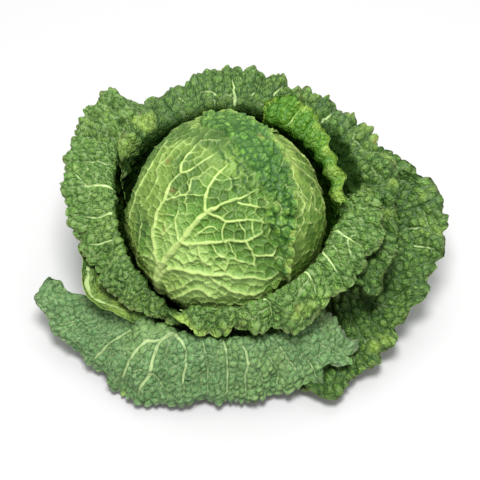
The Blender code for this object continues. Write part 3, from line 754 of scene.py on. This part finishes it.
def sheet_object(name, inner, outer, columns, rows, flat, fields, materials):
    """A closed blade between its inner and outer face, with the fields as attributes of its vertices."""
    faces, half = sheet_faces(columns, rows)
    mesh = bpy.data.meshes.new(name)
    mesh.from_pydata(np.concatenate([inner, outer]) * MM, [], faces.tolist())
    mesh.polygons.foreach_set("use_smooth", np.ones(len(faces), bool))
    mesh.polygons.foreach_set("material_index", (np.arange(len(faces)) >= half).astype(np.int32))
    layer = mesh.uv_layers.new(name="leaf")
    loops = np.empty(len(mesh.loops), np.int32)
    mesh.loops.foreach_get("vertex_index", loops)
    layer.data.foreach_set("uv", np.concatenate([flat, flat])[loops].ravel().astype(np.float32))
    for field, values in fields.items():
        attribute = mesh.attributes.new(field, "FLOAT", "POINT")
        attribute.data.foreach_set("value", np.concatenate([values, values]).astype(np.float32))
    for material in materials:
        mesh.materials.append(material)
    return put_in_scene(name, mesh)


def margin_points(surface, leaf):
    """Points along the rim and both side margins."""
    count = 240
    sweep = np.linspace(-1.0, 1.0, count)
    climb = np.linspace(0.3, 1.0, count)
    ends = [surface(leaf, sweep, np.ones(count))[0]]
    for side in (-1.0, 1.0):
        ends.append(surface(leaf, np.full(count, side), climb)[0])
    return np.concatenate(ends)


def sheet_size(surface, leaf, level=1.0):
    """How wide a leaf is at this level, and how long it is along its middle."""
    count = 60
    share = np.linspace(0.0, 1.0, count)
    row = surface(leaf, share * 2.0 - 1.0, np.full(count, level))[0]
    middle = surface(leaf, np.zeros(count), share)[0]
    return [np.linalg.norm(np.diff(line, axis=0), axis=1).sum() for line in (row, middle)]


def marks_from(marks, leaf, points, targets):
    """The sizes of each of the leaf's marks, and every point's distance to the target seen at its pixel."""
    for x, y, *sizes in marks.get(leaf.name, ()):
        centre = targets[seen_at(targets, ((x, y),))[0]]
        yield *sizes, np.linalg.norm(points - centre, axis=1)


def marks_on(marks, leaf, points):
    """How strongly each place is marked, from 0 to 1, by marks that the photograph shows."""
    strength = np.zeros(len(points))
    for radius, full, distance in marks_from(marks, leaf, points, points):
        strength = np.maximum(strength, full * smoothstep(1.3 - distance / radius))
    return strength


def notches_on(leaf, points, margin):
    """How far the rim is cut back at each place."""
    cut = np.zeros(len(points))
    for depth, half_width, distance in marks_from(RIM_NOTCHES, leaf, points, margin):
        cut += depth * np.exp(-((distance / half_width) ** 2))
    return cut


def shading_of(leaf, points, fields, knob, unshaded_share):
    """What the materials read at each place of a leaf, by attribute name."""
    # Painted shade marks darken the outer face, and the inner face through the share left unshaded.
    painted_shade_mark = marks_on(PAINTED_SHADE_MARKS, leaf, points)
    return {
        "vein": fields.vein, "pale": fields.pale, "branch": fields.branch, "net": fields.net,
        "knob": knob, "edge": fields.edge, "tone": fields.tone,
        "young": marks_on(PALE_MARKS, leaf, points), "scar": marks_on(BROWN_MARKS, leaf, points),
        "painted_shade_mark": painted_shade_mark, "unshaded": unshaded_share * (1.0 - painted_shade_mark)}


def flat_places(u, v, width, length):
    """The leaf laid flat, in decimetres, so that the fine pebbles keep one size over it."""
    return np.stack([u * width / 2.0, v * length], axis=1) / 100.0


def near(distance, reach):
    """Falls from 1 at no distance to 0 at this reach."""
    return smoothstep(1.0 - distance / reach)


def off_the_margin(u, along, normals, beside):
    """Directions in the blade that point out over the rim, or over a side margin where beside is 1."""
    sideways = (np.sign(u) * beside)[:, None]
    return along * (1.0 - beside)[:, None] + np.cross(along, normals) * sideways


def on_a_line(places, across=0.0):
    """Points for noise that varies along a rim, and across it where these distances are given."""
    return np.stack([places, np.full(len(places), across), np.zeros(len(places))], axis=1)


def wrapper_grid(leaf, width, length):
    """Columns and rows of a loose leaf's grid, and its places."""
    step = HIDDEN_LEAF_STEP if leaf.name == "wrapper_back_low" else GRID_STEP
    columns, rows = int(width / step / 1.04), int(length / step / 1.5)
    u, v = leaf_grid(columns, rows)
    if leaf.name == "wrapper_front":
        # Its left margin draws in below the tip.
        u = u * (1.0 - FRONT_WAIST * np.exp(-(((v - 0.7) / 0.14) ** 2)) * smoothstep(-3.0 * u))
    return columns, rows, u, v


def wrapper_waves(leaf, seed, u, v, points, free, edge):
    """How far a loose leaf's blade lies off its smooth form, away from the head."""
    rim_share = smoothstep((v - 0.75) / 0.25)
    ruffle = RUFFLE * np.sin((u + 1.0) / 2.0 * leaf.waves * 0.8 * math.pi + 0.7) * rim_share
    lumps = (2.8 * wobble(points, 24.0, seed + 1) + 2.0 * wobble(points, 11.0, seed + 2)) * free
    droop = DROOP * near(edge, 7.0) * rim_share
    return ruffle + lumps + droop


def wrapper_outline(leaf, seed, v, points, margin, arc, fields, height):
    """How far a loose leaf reaches past its smooth rim: beads, teeth, lobes and notches."""
    along_rim = on_a_line(arc)
    lobe = LOBE * wobble(along_rim, 12.0, seed + 5) + BROAD_LOBE * wobble(along_rim, 30.0, seed + 6)
    tooth = TOOTH * wobble(along_rim, 4.0, seed + 8) * near(fields.edge, 4.0)
    bead = (1.6 * pillow(fields.net, 1.7) - 1.1) * near(fields.edge, 5.0)
    lobe = lobe * near(fields.edge, 14.0) - notches_on(leaf, points, margin)
    return (bead + tooth + lobe) * smoothstep((v - 0.4) / 0.2) * min(1.0, 1.6 * height)


def dress_wrapper(leaf, seed, materials):
    """A loose leaf: blisters puff out of its inner face, and ribs stand out of its outer face."""
    rng = np.random.default_rng(seed)
    width, length = sheet_size(wrapper_surface, leaf)
    columns, rows, u, v = wrapper_grid(leaf, width, length)
    points, free = wrapper_surface(leaf, u, v)
    normals, along = outward_normals(wrapper_surface, leaf, u, v)
    shown, ends = photo_veins(wrapper_surface, leaf, u, v, points)
    lines = shown + fan_veins(wrapper_surface, leaf, rng, WRAPPER_LATERALS, ends, leaf.rib * WIDTH_PER_RIB)
    margin = margin_points(wrapper_surface, leaf)
    cell, height, painted_shade_reach = BLISTERS[leaf.name]
    fields = leaf_fields(points, lines, margin, cell, rng)

    hugging = 0.35 if leaf.stations[1][1] < 10 else 0.75
    grown = smoothstep((v - 0.12) / 0.2) * (hugging + (1.0 - hugging) * free)
    uneven = 0.95 + 0.7 * wobble(points, 22.0, seed) + 0.9 * (fields.tone - 0.5)
    strength = height * np.clip(uneven, 0.3, 1.5)
    knob = pillow(fields.net, 0.5 * cell) * pillow(fields.vein + 0.3, 2.4)
    puff = BLISTER_RISE * knob + PATCH_RISE * pillow(fields.branch, 6.0)
    puff += FIELD_RISE * pillow(fields.vein, 9.0)
    rise = wrapper_waves(leaf, seed, u, v, points, free, fields.edge) - puff * grown * strength

    beside = smoothstep((np.abs(u) - 0.92) / 0.08)
    arc = (u + 1.0) / 2.0 * width + beside * (1.0 - v) * length + 2.5 * wobble(points, 14.0, seed + 3)
    outline = wrapper_outline(leaf, seed, v, points, margin, arc, fields, height)
    outward = off_the_margin(u, along, normals, beside)
    inner = points + normals * rise[:, None] + outward * outline[:, None]
    blade = BLADE - (BLADE - RIM_BLADE) * near(fields.edge, 3.0)
    rib_height = 1.2 * fields.rib + 0.25 * (1.0 - pillow(fields.branch, 1.2)) * grown
    outer = inner + normals * (blade + rib_height)[:, None]
    flat = flat_places(u, v, width, length)
    # Painted shade on the inner face where the blade hugs the head, fading as it comes free.
    shading = shading_of(leaf, points, fields, knob, free**painted_shade_reach)
    return sheet_object(leaf.name + "_blade", inner, outer, columns, rows, flat, shading, materials)


def turned_out(leaf, u, v, points, seed):
    """How far the main head leaf's rim is turned over, from 0 to 1: all that lies beyond its crease."""
    seen = seen_at(points, ROLLED_CREASE)
    path = [(u[seen[0]] - 0.12, 1.0), *zip(u[seen], v[seen]), (1.0, v[seen[-1]] - 0.04)]
    crease = vein_line(head_leaf_surface, leaf, path, 1.0, 1.0, 0.0)
    across = np.cross(crease.normals, np.gradient(crease.points, axis=0))
    across /= np.linalg.norm(across, axis=1)[:, None]
    at = nearest(crease.points, points)[0]
    beyond = ((points - crease.points[at]) * across[at]).sum(axis=1)
    return smoothstep((beyond + 2.0 * wobble(points, 8.0, seed)) / 1.8 + 0.3)


def main_leaf_form(leaf, seed, u, v, points, fields, knob, strength):
    """The main leaf's fields, knob and strength of relief, how far it is turned over, its distance to the
    nearest deep fold, and its frill. It sinks deepest on its right."""
    rolled = turned_out(leaf, u, v, points, seed)
    folds = [points[seen_at(points, curve_through(pixels, 14))] for pixels in HEAD_FOLDS]
    fold = nearest(np.concatenate(folds), points)[1]
    frill = 0.3 + 0.7 * np.maximum(rolled, smoothstep((v - 0.88) / 0.08))
    # Painted shade: the main leaf is painted darker towards its left side and its top, where it is partly also
    # a greener leaf. The turned-over rim keeps its colour.
    shade = 2.2 * smoothstep((v - 0.5) / 0.3) + 2.8 * smoothstep((-0.15 - u) / 0.4)
    fields = fields._replace(tone=fields.tone + shade * (1.0 - rolled))
    strength = strength * (0.6 + 0.65 * smoothstep((u + 0.35) / 0.6))
    return fields, knob, strength, rolled, fold, frill


def side_leaf_form(points, fields, knob, strength):
    """The same for another head leaf, whose net is low down and whose frill is towards the back."""
    from_centre = points - (0.0, 0.0, HEAD_CENTRE_Z)
    latitude = np.degrees(np.arcsin(from_centre[:, 2] / np.linalg.norm(from_centre, axis=1)))
    netted = smoothstep((52.0 - latitude) / 12.0)
    # Painted shade: low down, where its net is, the leaf is painted darker.
    fields = fields._replace(
        net=fields.net + 2.0 * (1.0 - netted), branch=fields.branch + 1.0 - netted, tone=fields.tone + netted)
    frill = 0.55 * smoothstep((points[:, 1] + 10.0) / 20.0)
    unrolled, far_fold = np.zeros(len(points)), np.full(len(points), 9.0)
    strength = strength * (0.25 + 0.45 * netted)
    return fields, knob * (0.2 + 0.8 * netted), strength, unrolled, far_fold, frill


def dress_head_leaf(leaf, seed, materials):
    """A leaf on the head: its outer face shows, so the veins stand up and the cells between them sink."""
    rng = np.random.default_rng(seed)
    is_main = leaf.name == "head_leaf_main"
    width, length = sheet_size(head_leaf_surface, leaf, 0.5)
    step, girth, deepest = HEAD_LEAF_STEP, HEAD_LEAF_GIRTH, HEAD_LEAF_DEEPEST
    if is_main:
        step, girth, deepest = MAIN_LEAF_STEP, MAIN_LEAF_GIRTH, MAIN_LEAF_DEEPEST
    columns, rows = int(girth / step), int(length / step)
    u, v = leaf_grid(columns, rows)
    points, _ = head_leaf_surface(leaf, u, v)
    normals, along = outward_normals(head_leaf_surface, leaf, u, v)
    shown, ends = photo_veins(head_leaf_surface, leaf, u, v, points)
    lines = shown
    if not is_main:
        lines = shown + fan_veins(head_leaf_surface, leaf, rng, HEAD_LATERALS, ends, HEAD_MIDRIB)
    fields = leaf_fields(points, lines, margin_points(head_leaf_surface, leaf), HEAD_CELL, rng)
    knob = pillow(fields.net, 2.6) * pillow(fields.vein + 0.2, 2.0)
    strength = np.clip(0.95 + 0.4 * wobble(points, 20.0, seed) + 0.7 * (fields.tone - 0.5), 0.3, 1.5)
    if is_main:
        form = main_leaf_form(leaf, seed, u, v, points, fields, knob, strength)
    else:
        form = side_leaf_form(points, fields, knob, strength)
    fields, knob, strength, rolled, fold, frill = form

    arc = np.arctan2(points[:, 1], points[:, 0]) * HEAD_RADIUS + points[:, 2]
    along_rim = on_a_line(arc + 2.0 * wobble(points, 10.0, seed + 3), 0.35 * fields.edge)
    sink = CELL_SINK * knob + PATCH_SINK * pillow(fields.branch, 5.0) + FIELD_SINK * pillow(fields.vein, 6.0)
    sink = deepest * np.tanh(sink * strength / deepest) * (1.0 - rolled)
    puff = 1.3 * pillow(fields.net, 2.6) + 0.9 * pillow(fields.branch, 4.0)
    puff = (puff + 1.6 * wobble(along_rim, 3.6, seed + 7)) * (strength * rolled)
    groove = 2.2 * rolled * (1.0 - rolled) * 4.0 + 1.5 * (1.0 - pillow(fold, 1.7))
    ridge = 0.3 * np.exp(-((fields.net / 0.7) ** 2))
    rib_height = (0.9 * fields.rib + ridge) * (1.0 - rolled)
    lift = (1.4 + 2.2 * wobble(along_rim, 11.0, seed + 4)) * near(fields.edge, 7.0) * frill
    outer = points + normals * (rib_height + puff + lift - sink - groove)[:, None]
    scallop = (2.6 * pillow(fields.net, 1.7) - 1.6) * near(fields.edge, 3.5) * frill
    beside = smoothstep((np.abs(u) - 0.94) / 0.06)
    outer = outer + off_the_margin(u, along, normals, beside) * scallop[:, None]
    inner = outer - normals * BLADE
    flat = flat_places(u, v, width, length)
    shading = shading_of(leaf, points, fields, knob, 1.0) | {"rolled": rolled, "fold": fold}
    return sheet_object(leaf.name, inner, outer, columns, rows, flat, shading, materials)


def dress_core(material):
    """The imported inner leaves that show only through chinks: a wrinkled ball inside the head leaves."""
    ball = bmesh.new()
    bmesh.ops.create_icosphere(ball, subdivisions=5, radius=CORE_RADIUS)
    for vertex in ball.verts:
        wrinkle = noise.noise(Vector((vertex.co.x, vertex.co.y, vertex.co.z * 0.4)) / 9.0)
        vertex.co = vertex.co * (1.0 + 0.012 * wrinkle) + Vector((0.0, 0.0, HEAD_CENTRE_Z))
        vertex.co *= MM
    for face in ball.faces:
        face.smooth = True
    mesh = bpy.data.meshes.new("head_core")
    ball.to_mesh(mesh)
    ball.free()
    mesh.materials.append(material)
    return put_in_scene("head_core", mesh)


def new_material(name):
    """A material, its node tree and its shader."""
    material = bpy.data.materials.new(name)
    material.use_nodes = True
    return material, material.node_tree, material.node_tree.nodes["Principled BSDF"]


def node(tree, kind, inputs=None, **settings):
    """Adds a shader node. An input is a value, or the output socket that feeds it."""
    made = tree.nodes.new(kind)
    for key, value in settings.items():
        setattr(made, key, value)
    for key, value in (inputs or {}).items():
        if isinstance(value, bpy.types.NodeSocket):
            tree.links.new(value, made.inputs[key])
        else:
            made.inputs[key].default_value = value
    return made


def ramp(tree, value, low, high, to_low=0.0, to_high=1.0):
    """Maps the value smoothly from between low and high to between the other two."""
    inputs = {"Value": value, "From Min": low, "From Max": high, "To Min": to_low, "To Max": to_high}
    return node(tree, "ShaderNodeMapRange", inputs, interpolation_type="SMOOTHSTEP").outputs["Result"]


def times(tree, first, second):
    return node(tree, "ShaderNodeMath", {0: first, 1: second}, operation="MULTIPLY").outputs[0]


def mixed(tree, share, first, second):
    """This share of the second colour over the first."""
    made = node(tree, "ShaderNodeMix", data_type="RGBA")
    for socket, value in ((made.inputs[0], share), (made.inputs[6], first), (made.inputs[7], second)):
        if isinstance(value, bpy.types.NodeSocket):
            tree.links.new(value, socket)
        elif isinstance(value, tuple):
            socket.default_value = (*value, 1.0)
        else:
            socket.default_value = value
    return made.outputs[2]


def field_of(tree, name):
    return node(tree, "ShaderNodeAttribute", attribute_name=name).outputs["Fac"]


def noise_of(tree, place, per_metre, detail=3.0):
    inputs = {"Vector": place, "Scale": per_metre, "Detail": detail}
    return node(tree, "ShaderNodeTexNoise", inputs).outputs["Fac"]


def patches_of(tree, place, per_metre, low, high, to_low=0.0, to_high=1.0, detail=3.0):
    """Noise of this fineness, mapped smoothly as ramp does."""
    return ramp(tree, noise_of(tree, place, per_metre, detail), low, high, to_low, to_high)


def darker(colour, share):
    return tuple(share * part for part in colour)


def marked(tree, place, base):
    """Adds the yellow-green and brown marks."""
    ragged = patches_of(tree, place, 220.0, 0.3, 0.6)
    young = times(tree, field_of(tree, "young"), ramp(tree, ragged, 0.0, 1.0, 0.4, 1.0))
    base = mixed(tree, young, base, YOUNG)
    return mixed(tree, times(tree, field_of(tree, "scar"), ragged), base, SCAR)


def inner_colour(tree, palette, place, pebbles, netting=0.0):
    """The face with sunken veins: pale only along the larger ones. Blister tops carry painted light and the
    creases round them painted shade, and the blade is painted dark as shade where it hugs the head.
    """
    knob, vein, pale, branch, edge, tone, free = (
        field_of(tree, key) for key in ("knob", "vein", "pale", "branch", "edge", "tone", "unshaded"))
    # Painted light and shade: lighter on blister tops, darker in the creases between them.
    lit = times(tree, ramp(tree, knob, 0.1, 0.9), patches_of(tree, place, 55.0, 0.3, 0.7, 0.7, 1.0))
    lit = times(tree, lit, ramp(tree, tone, 0.0, 1.0, 0.6, 1.0))
    lit = times(tree, lit, ramp(tree, pebbles, 0.05, 0.6, 1.0, 0.3))
    base = mixed(tree, lit, palette.dark, palette.light)
    base = mixed(tree, ramp(tree, pebbles, 0.42, 0.6, 0.0, netting), base, palette.vein)
    glints = times(tree, lit, patches_of(tree, place, 400.0, 0.52, 0.72, 0.0, 0.5))
    base = mixed(tree, glints, base, palette.vein)
    sunned = times(tree, patches_of(tree, place, 24.0, 0.5, 0.66, 0.0, 0.4, detail=1.0), lit)
    base = mixed(tree, sunned, base, YOUNG)
    patchy = patches_of(tree, place, 45.0, 0.5, 0.62, 0.0, 0.5)
    base = mixed(tree, times(tree, ramp(tree, branch, 0.1, 0.8, 1.0, 0.0), patchy), base, palette.vein)
    rim_noise = patches_of(tree, place, 110.0, 0.42, 0.6)
    base = mixed(tree, times(tree, ramp(tree, edge, 0.2, 3.4, 0.75, 0.0), rim_noise), base, palette.rim)
    base = marked(tree, place, base)
    broken = patches_of(tree, place, 160.0, 0.3, 0.5, 0.55, 1.0)
    on_vein = times(tree, ramp(tree, vein, -0.25, 0.35, 1.0, 0.0), times(tree, pale, broken))
    base = mixed(tree, on_vein, base, palette.vein)
    # Painted shade, towards a third of the crease colour, where the blade hugs the head and at the shade
    # marks.
    return mixed(tree, ramp(tree, free, 0.0, 0.6, 0.95, 0.0), base, darker(palette.dark, 0.3))


def outer_colour(tree, palette, place, pebbles, netting):
    """The face with raised veins: every order of vein is paler than the cells between them. The sunken cells
    darken towards their middles, partly as their own green and partly as painted shade.
    """
    knob, vein, branch, net, tone = (field_of(tree, key) for key in ("knob", "vein", "branch", "net", "tone"))
    blotches = patches_of(tree, place, 60.0, 0.3, 0.7, 0.1, 0.65)
    # Darker towards the middle of each sunken cell: partly the leaf's own green, partly painted shade.
    base = mixed(tree, times(tree, knob, blotches), palette.light, palette.dark)
    # Darker with each cell's random darkness, and on the head leaves with their painted shade.
    base = mixed(tree, ramp(tree, tone, 0.0, 2.0), base, palette.dark)
    base = mixed(tree, ramp(tree, tone, 1.5, 3.5), base, darker(palette.dark, 0.5))
    base = mixed(tree, ramp(tree, pebbles, 0.1, 0.6, 0.0, 0.2), base, palette.dark)
    sunned = patches_of(tree, place, 30.0, 0.5, 0.68, 0.0, 0.35, detail=1.0)
    base = mixed(tree, sunned, base, YOUNG)
    faint = patches_of(tree, place, 60.0, 0.38, 0.62, 0.15, 1.0)
    netted = times(tree, ramp(tree, net, 0.1, 0.9, netting, 0.0), faint)
    base = mixed(tree, netted, base, palette.vein)
    branched = times(tree, ramp(tree, branch, 0.1, 1.1, netting * 2.0, 0.0), faint)
    base = mixed(tree, branched, base, palette.vein)
    base = marked(tree, place, base)
    base = mixed(tree, ramp(tree, vein, -0.3, 0.45, 0.95, 0.0), base, palette.vein)
    # Painted shade at the shade marks.
    return mixed(tree, field_of(tree, "painted_shade_mark"), base, darker(palette.dark, 0.3))


def pebbles_of(tree, pebble):
    """Distance from the middle of the nearest fine pebble, over the leaf laid flat and slightly warped."""
    flat = node(tree, "ShaderNodeUVMap", uv_map="leaf").outputs["UV"]
    warp = node(tree, "ShaderNodeTexNoise", {"Vector": flat, "Scale": 30.0, "Detail": 1.0}).outputs["Color"]
    bent = node(tree, "ShaderNodeVectorMath", {0: warp, 1: (0.03, 0.03, 0.0), 2: flat},
                operation="MULTIPLY_ADD").outputs["Vector"]
    return node(tree, "ShaderNodeTexVoronoi", {"Vector": bent, "Scale": 100.0 / pebble, "Randomness": 1.0},
                voronoi_dimensions="2D").outputs["Distance"]


def leaf_material(name, palette, raised, netting=0.0, turned=None, pebble=PEBBLE):
    """One face of a leaf, whose veins are raised or sunken, with this much pale netting. The turned palette
    is for a rim that shows the leaf's inner face."""
    material, tree, shader = new_material(name)
    place = node(tree, "ShaderNodeTexCoord").outputs["Object"]
    pebbles = pebbles_of(tree, pebble)
    colour = (outer_colour if raised else inner_colour)(tree, palette, place, pebbles, netting)
    if turned:
        # Painted shade in the deep folds beside the turned-over rim.
        colour = mixed(tree, ramp(tree, field_of(tree, "fold"), 0.3, 1.5, 0.85, 0.0), colour, turned.dark)
        colour = mixed(tree, field_of(tree, "rolled"), colour, inner_colour(tree, turned, place, pebbles))
    tree.links.new(colour, shader.inputs["Base Color"])
    rounded = ramp(tree, pebbles, 0.0, 0.65, 1.0, 0.0)
    grain = node(tree, "ShaderNodeMath", {0: noise_of(tree, place, 700.0, 2.0), 1: 0.5, 2: rounded},
                 operation="MULTIPLY_ADD").outputs[0]
    rough = ramp(tree, field_of(tree, "vein"), -0.2, 0.8, 0.1, 0.5 if raised or pebble < PEBBLE else 0.9)
    relief = {"Strength": rough, "Distance": 0.001, "Height": grain}
    tree.links.new(node(tree, "ShaderNodeBump", relief).outputs["Normal"], shader.inputs["Normal"])
    shader.inputs["Roughness"].default_value = 0.5
    # Less gloss under the painted shade.
    gloss = ramp(tree, field_of(tree, "unshaded"), 0.0, 0.6, 0.02, 0.3)
    tree.links.new(gloss, shader.inputs["Specular IOR Level"])
    return material


def stalk_material():
    """A cut stump: pale fibres running down its side, with darker dried stains."""
    material, tree, shader = new_material("cut_stalk")
    place = node(tree, "ShaderNodeTexCoord").outputs["Object"]
    stretch = {"Vector": place, "Scale": (1.0, 1.0, 0.15)}
    fibres = noise_of(tree, node(tree, "ShaderNodeMapping", stretch).outputs["Vector"], 700.0, 4.0)
    colour = mixed(tree, ramp(tree, fibres, 0.35, 0.65), FIBRE_DARK, FIBRE_PALE)
    colour = mixed(tree, patches_of(tree, place, 120.0, 0.5, 0.75, 0.0, 0.6), colour, DRIED)
    tree.links.new(colour, shader.inputs["Base Color"])
    relief = {"Strength": 0.6, "Distance": 0.0005, "Height": fibres}
    tree.links.new(node(tree, "ShaderNodeBump", relief).outputs["Normal"], shader.inputs["Normal"])
    shader.inputs["Roughness"].default_value = 0.75
    return material


def dress_cabbage():
    """Every leaf of the solid model replaced by its finer blade, all on the one body."""
    head_outer = leaf_material("head_outer", HEAD_OUTER, True, 0.25, ROLLED_INNER)
    pale_outer = leaf_material("pale_outer", PALE_OUTER, True, 0.3)
    wrapper_inner = leaf_material("wrapper_inner_face", WRAPPER_INNER, False, 0.06)
    waxy_inner = leaf_material("waxy_inner_face", WAXY_INNER, False, 0.3, pebble=WAXY_PEBBLE)
    bright_inner = leaf_material("bright_inner_face", BRIGHT_INNER, False)
    light_inner = leaf_material("light_inner_face", LIGHT_INNER, False, 0.22)
    inner_faces = {"wrapper_inner": bright_inner, "wrapper_front": waxy_inner, "wrapper_left": light_inner,
                   "wrapper_right_front": light_inner}
    wrapper_outer = leaf_material("wrapper_outer_face", WRAPPER_OUTER, True, 0.3)

    heads = [dress_core(pale_outer)]
    for index, leaf in enumerate(HEAD_LEAVES):
        faces = (bright_inner, head_outer if leaf.name == "head_leaf_main" else pale_outer)
        heads.append(dress_head_leaf(leaf, HEAD_SEED + index, faces))
    for piece in heads:
        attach(piece, "root")
        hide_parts("head")
    for index, leaf in enumerate(WRAPPERS):
        faces = (inner_faces.get(leaf.name, wrapper_inner), wrapper_outer)
        piece = dress_wrapper(leaf, WRAPPER_SEED + index, faces)
        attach(piece, "root")
        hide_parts(leaf.name)
    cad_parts["stalk"].material_slots[0].material = stalk_material()


def light_studio():
    """A soft light above the camera and a larger one behind, in white surroundings."""
    world = bpy.data.worlds.new("studio")
    world.use_nodes = True
    background = world.node_tree.nodes["Background"]
    background.inputs["Color"].default_value = (1.0, 1.0, 1.0, 1.0)
    background.inputs["Strength"].default_value = WORLD_STRENGTH
    bpy.context.scene.world = world

    for name, place, size, power in LAMPS:
        lamp = bpy.data.lights.new(name, "AREA")
        lamp.size = size
        lamp.energy = power
        light = put_in_scene(name, lamp)
        light.location = place
        light.rotation_euler = (Vector(LAMP_AIM) - Vector(place)).to_track_quat("-Z", "Y").to_euler()


def lay_floor():
    """A plain pale floor."""
    mesh = bpy.data.meshes.new("floor")
    corners = [(x * FLOOR_HALF, y * FLOOR_HALF, 0) for x, y in ((-1, -1), (1, -1), (1, 1), (-1, 1))]
    mesh.from_pydata(corners, [], [(0, 1, 2, 3)])
    paper, _, shader = new_material("paper")
    shader.inputs["Base Color"].default_value = (FLOOR_GREY, FLOOR_GREY, FLOOR_GREY, 1.0)
    shader.inputs["Roughness"].default_value = 0.9
    mesh.materials.append(paper)
    floor = put_in_scene("floor", mesh)


def place_camera():
    camera = put_in_scene("camera", bpy.data.cameras.new("camera"))
    camera.data.lens = CAMERA_LENS
    camera.data.sensor_width = SENSOR
    camera.location = CAMERA_PLACE * MM
    aim = Vector((CAMERA_TARGET - CAMERA_PLACE) * MM)
    camera.rotation_euler = aim.to_track_quat("-Z", "Y").to_euler()
    bpy.context.scene.camera = camera


noise.seed_set(JOSTLE_SEED)
place_camera()
light_studio()
lay_floor()
dress_cabbage()
bpy.context.scene.view_settings.view_transform = "Standard"
bpy.context.view_layer.update()
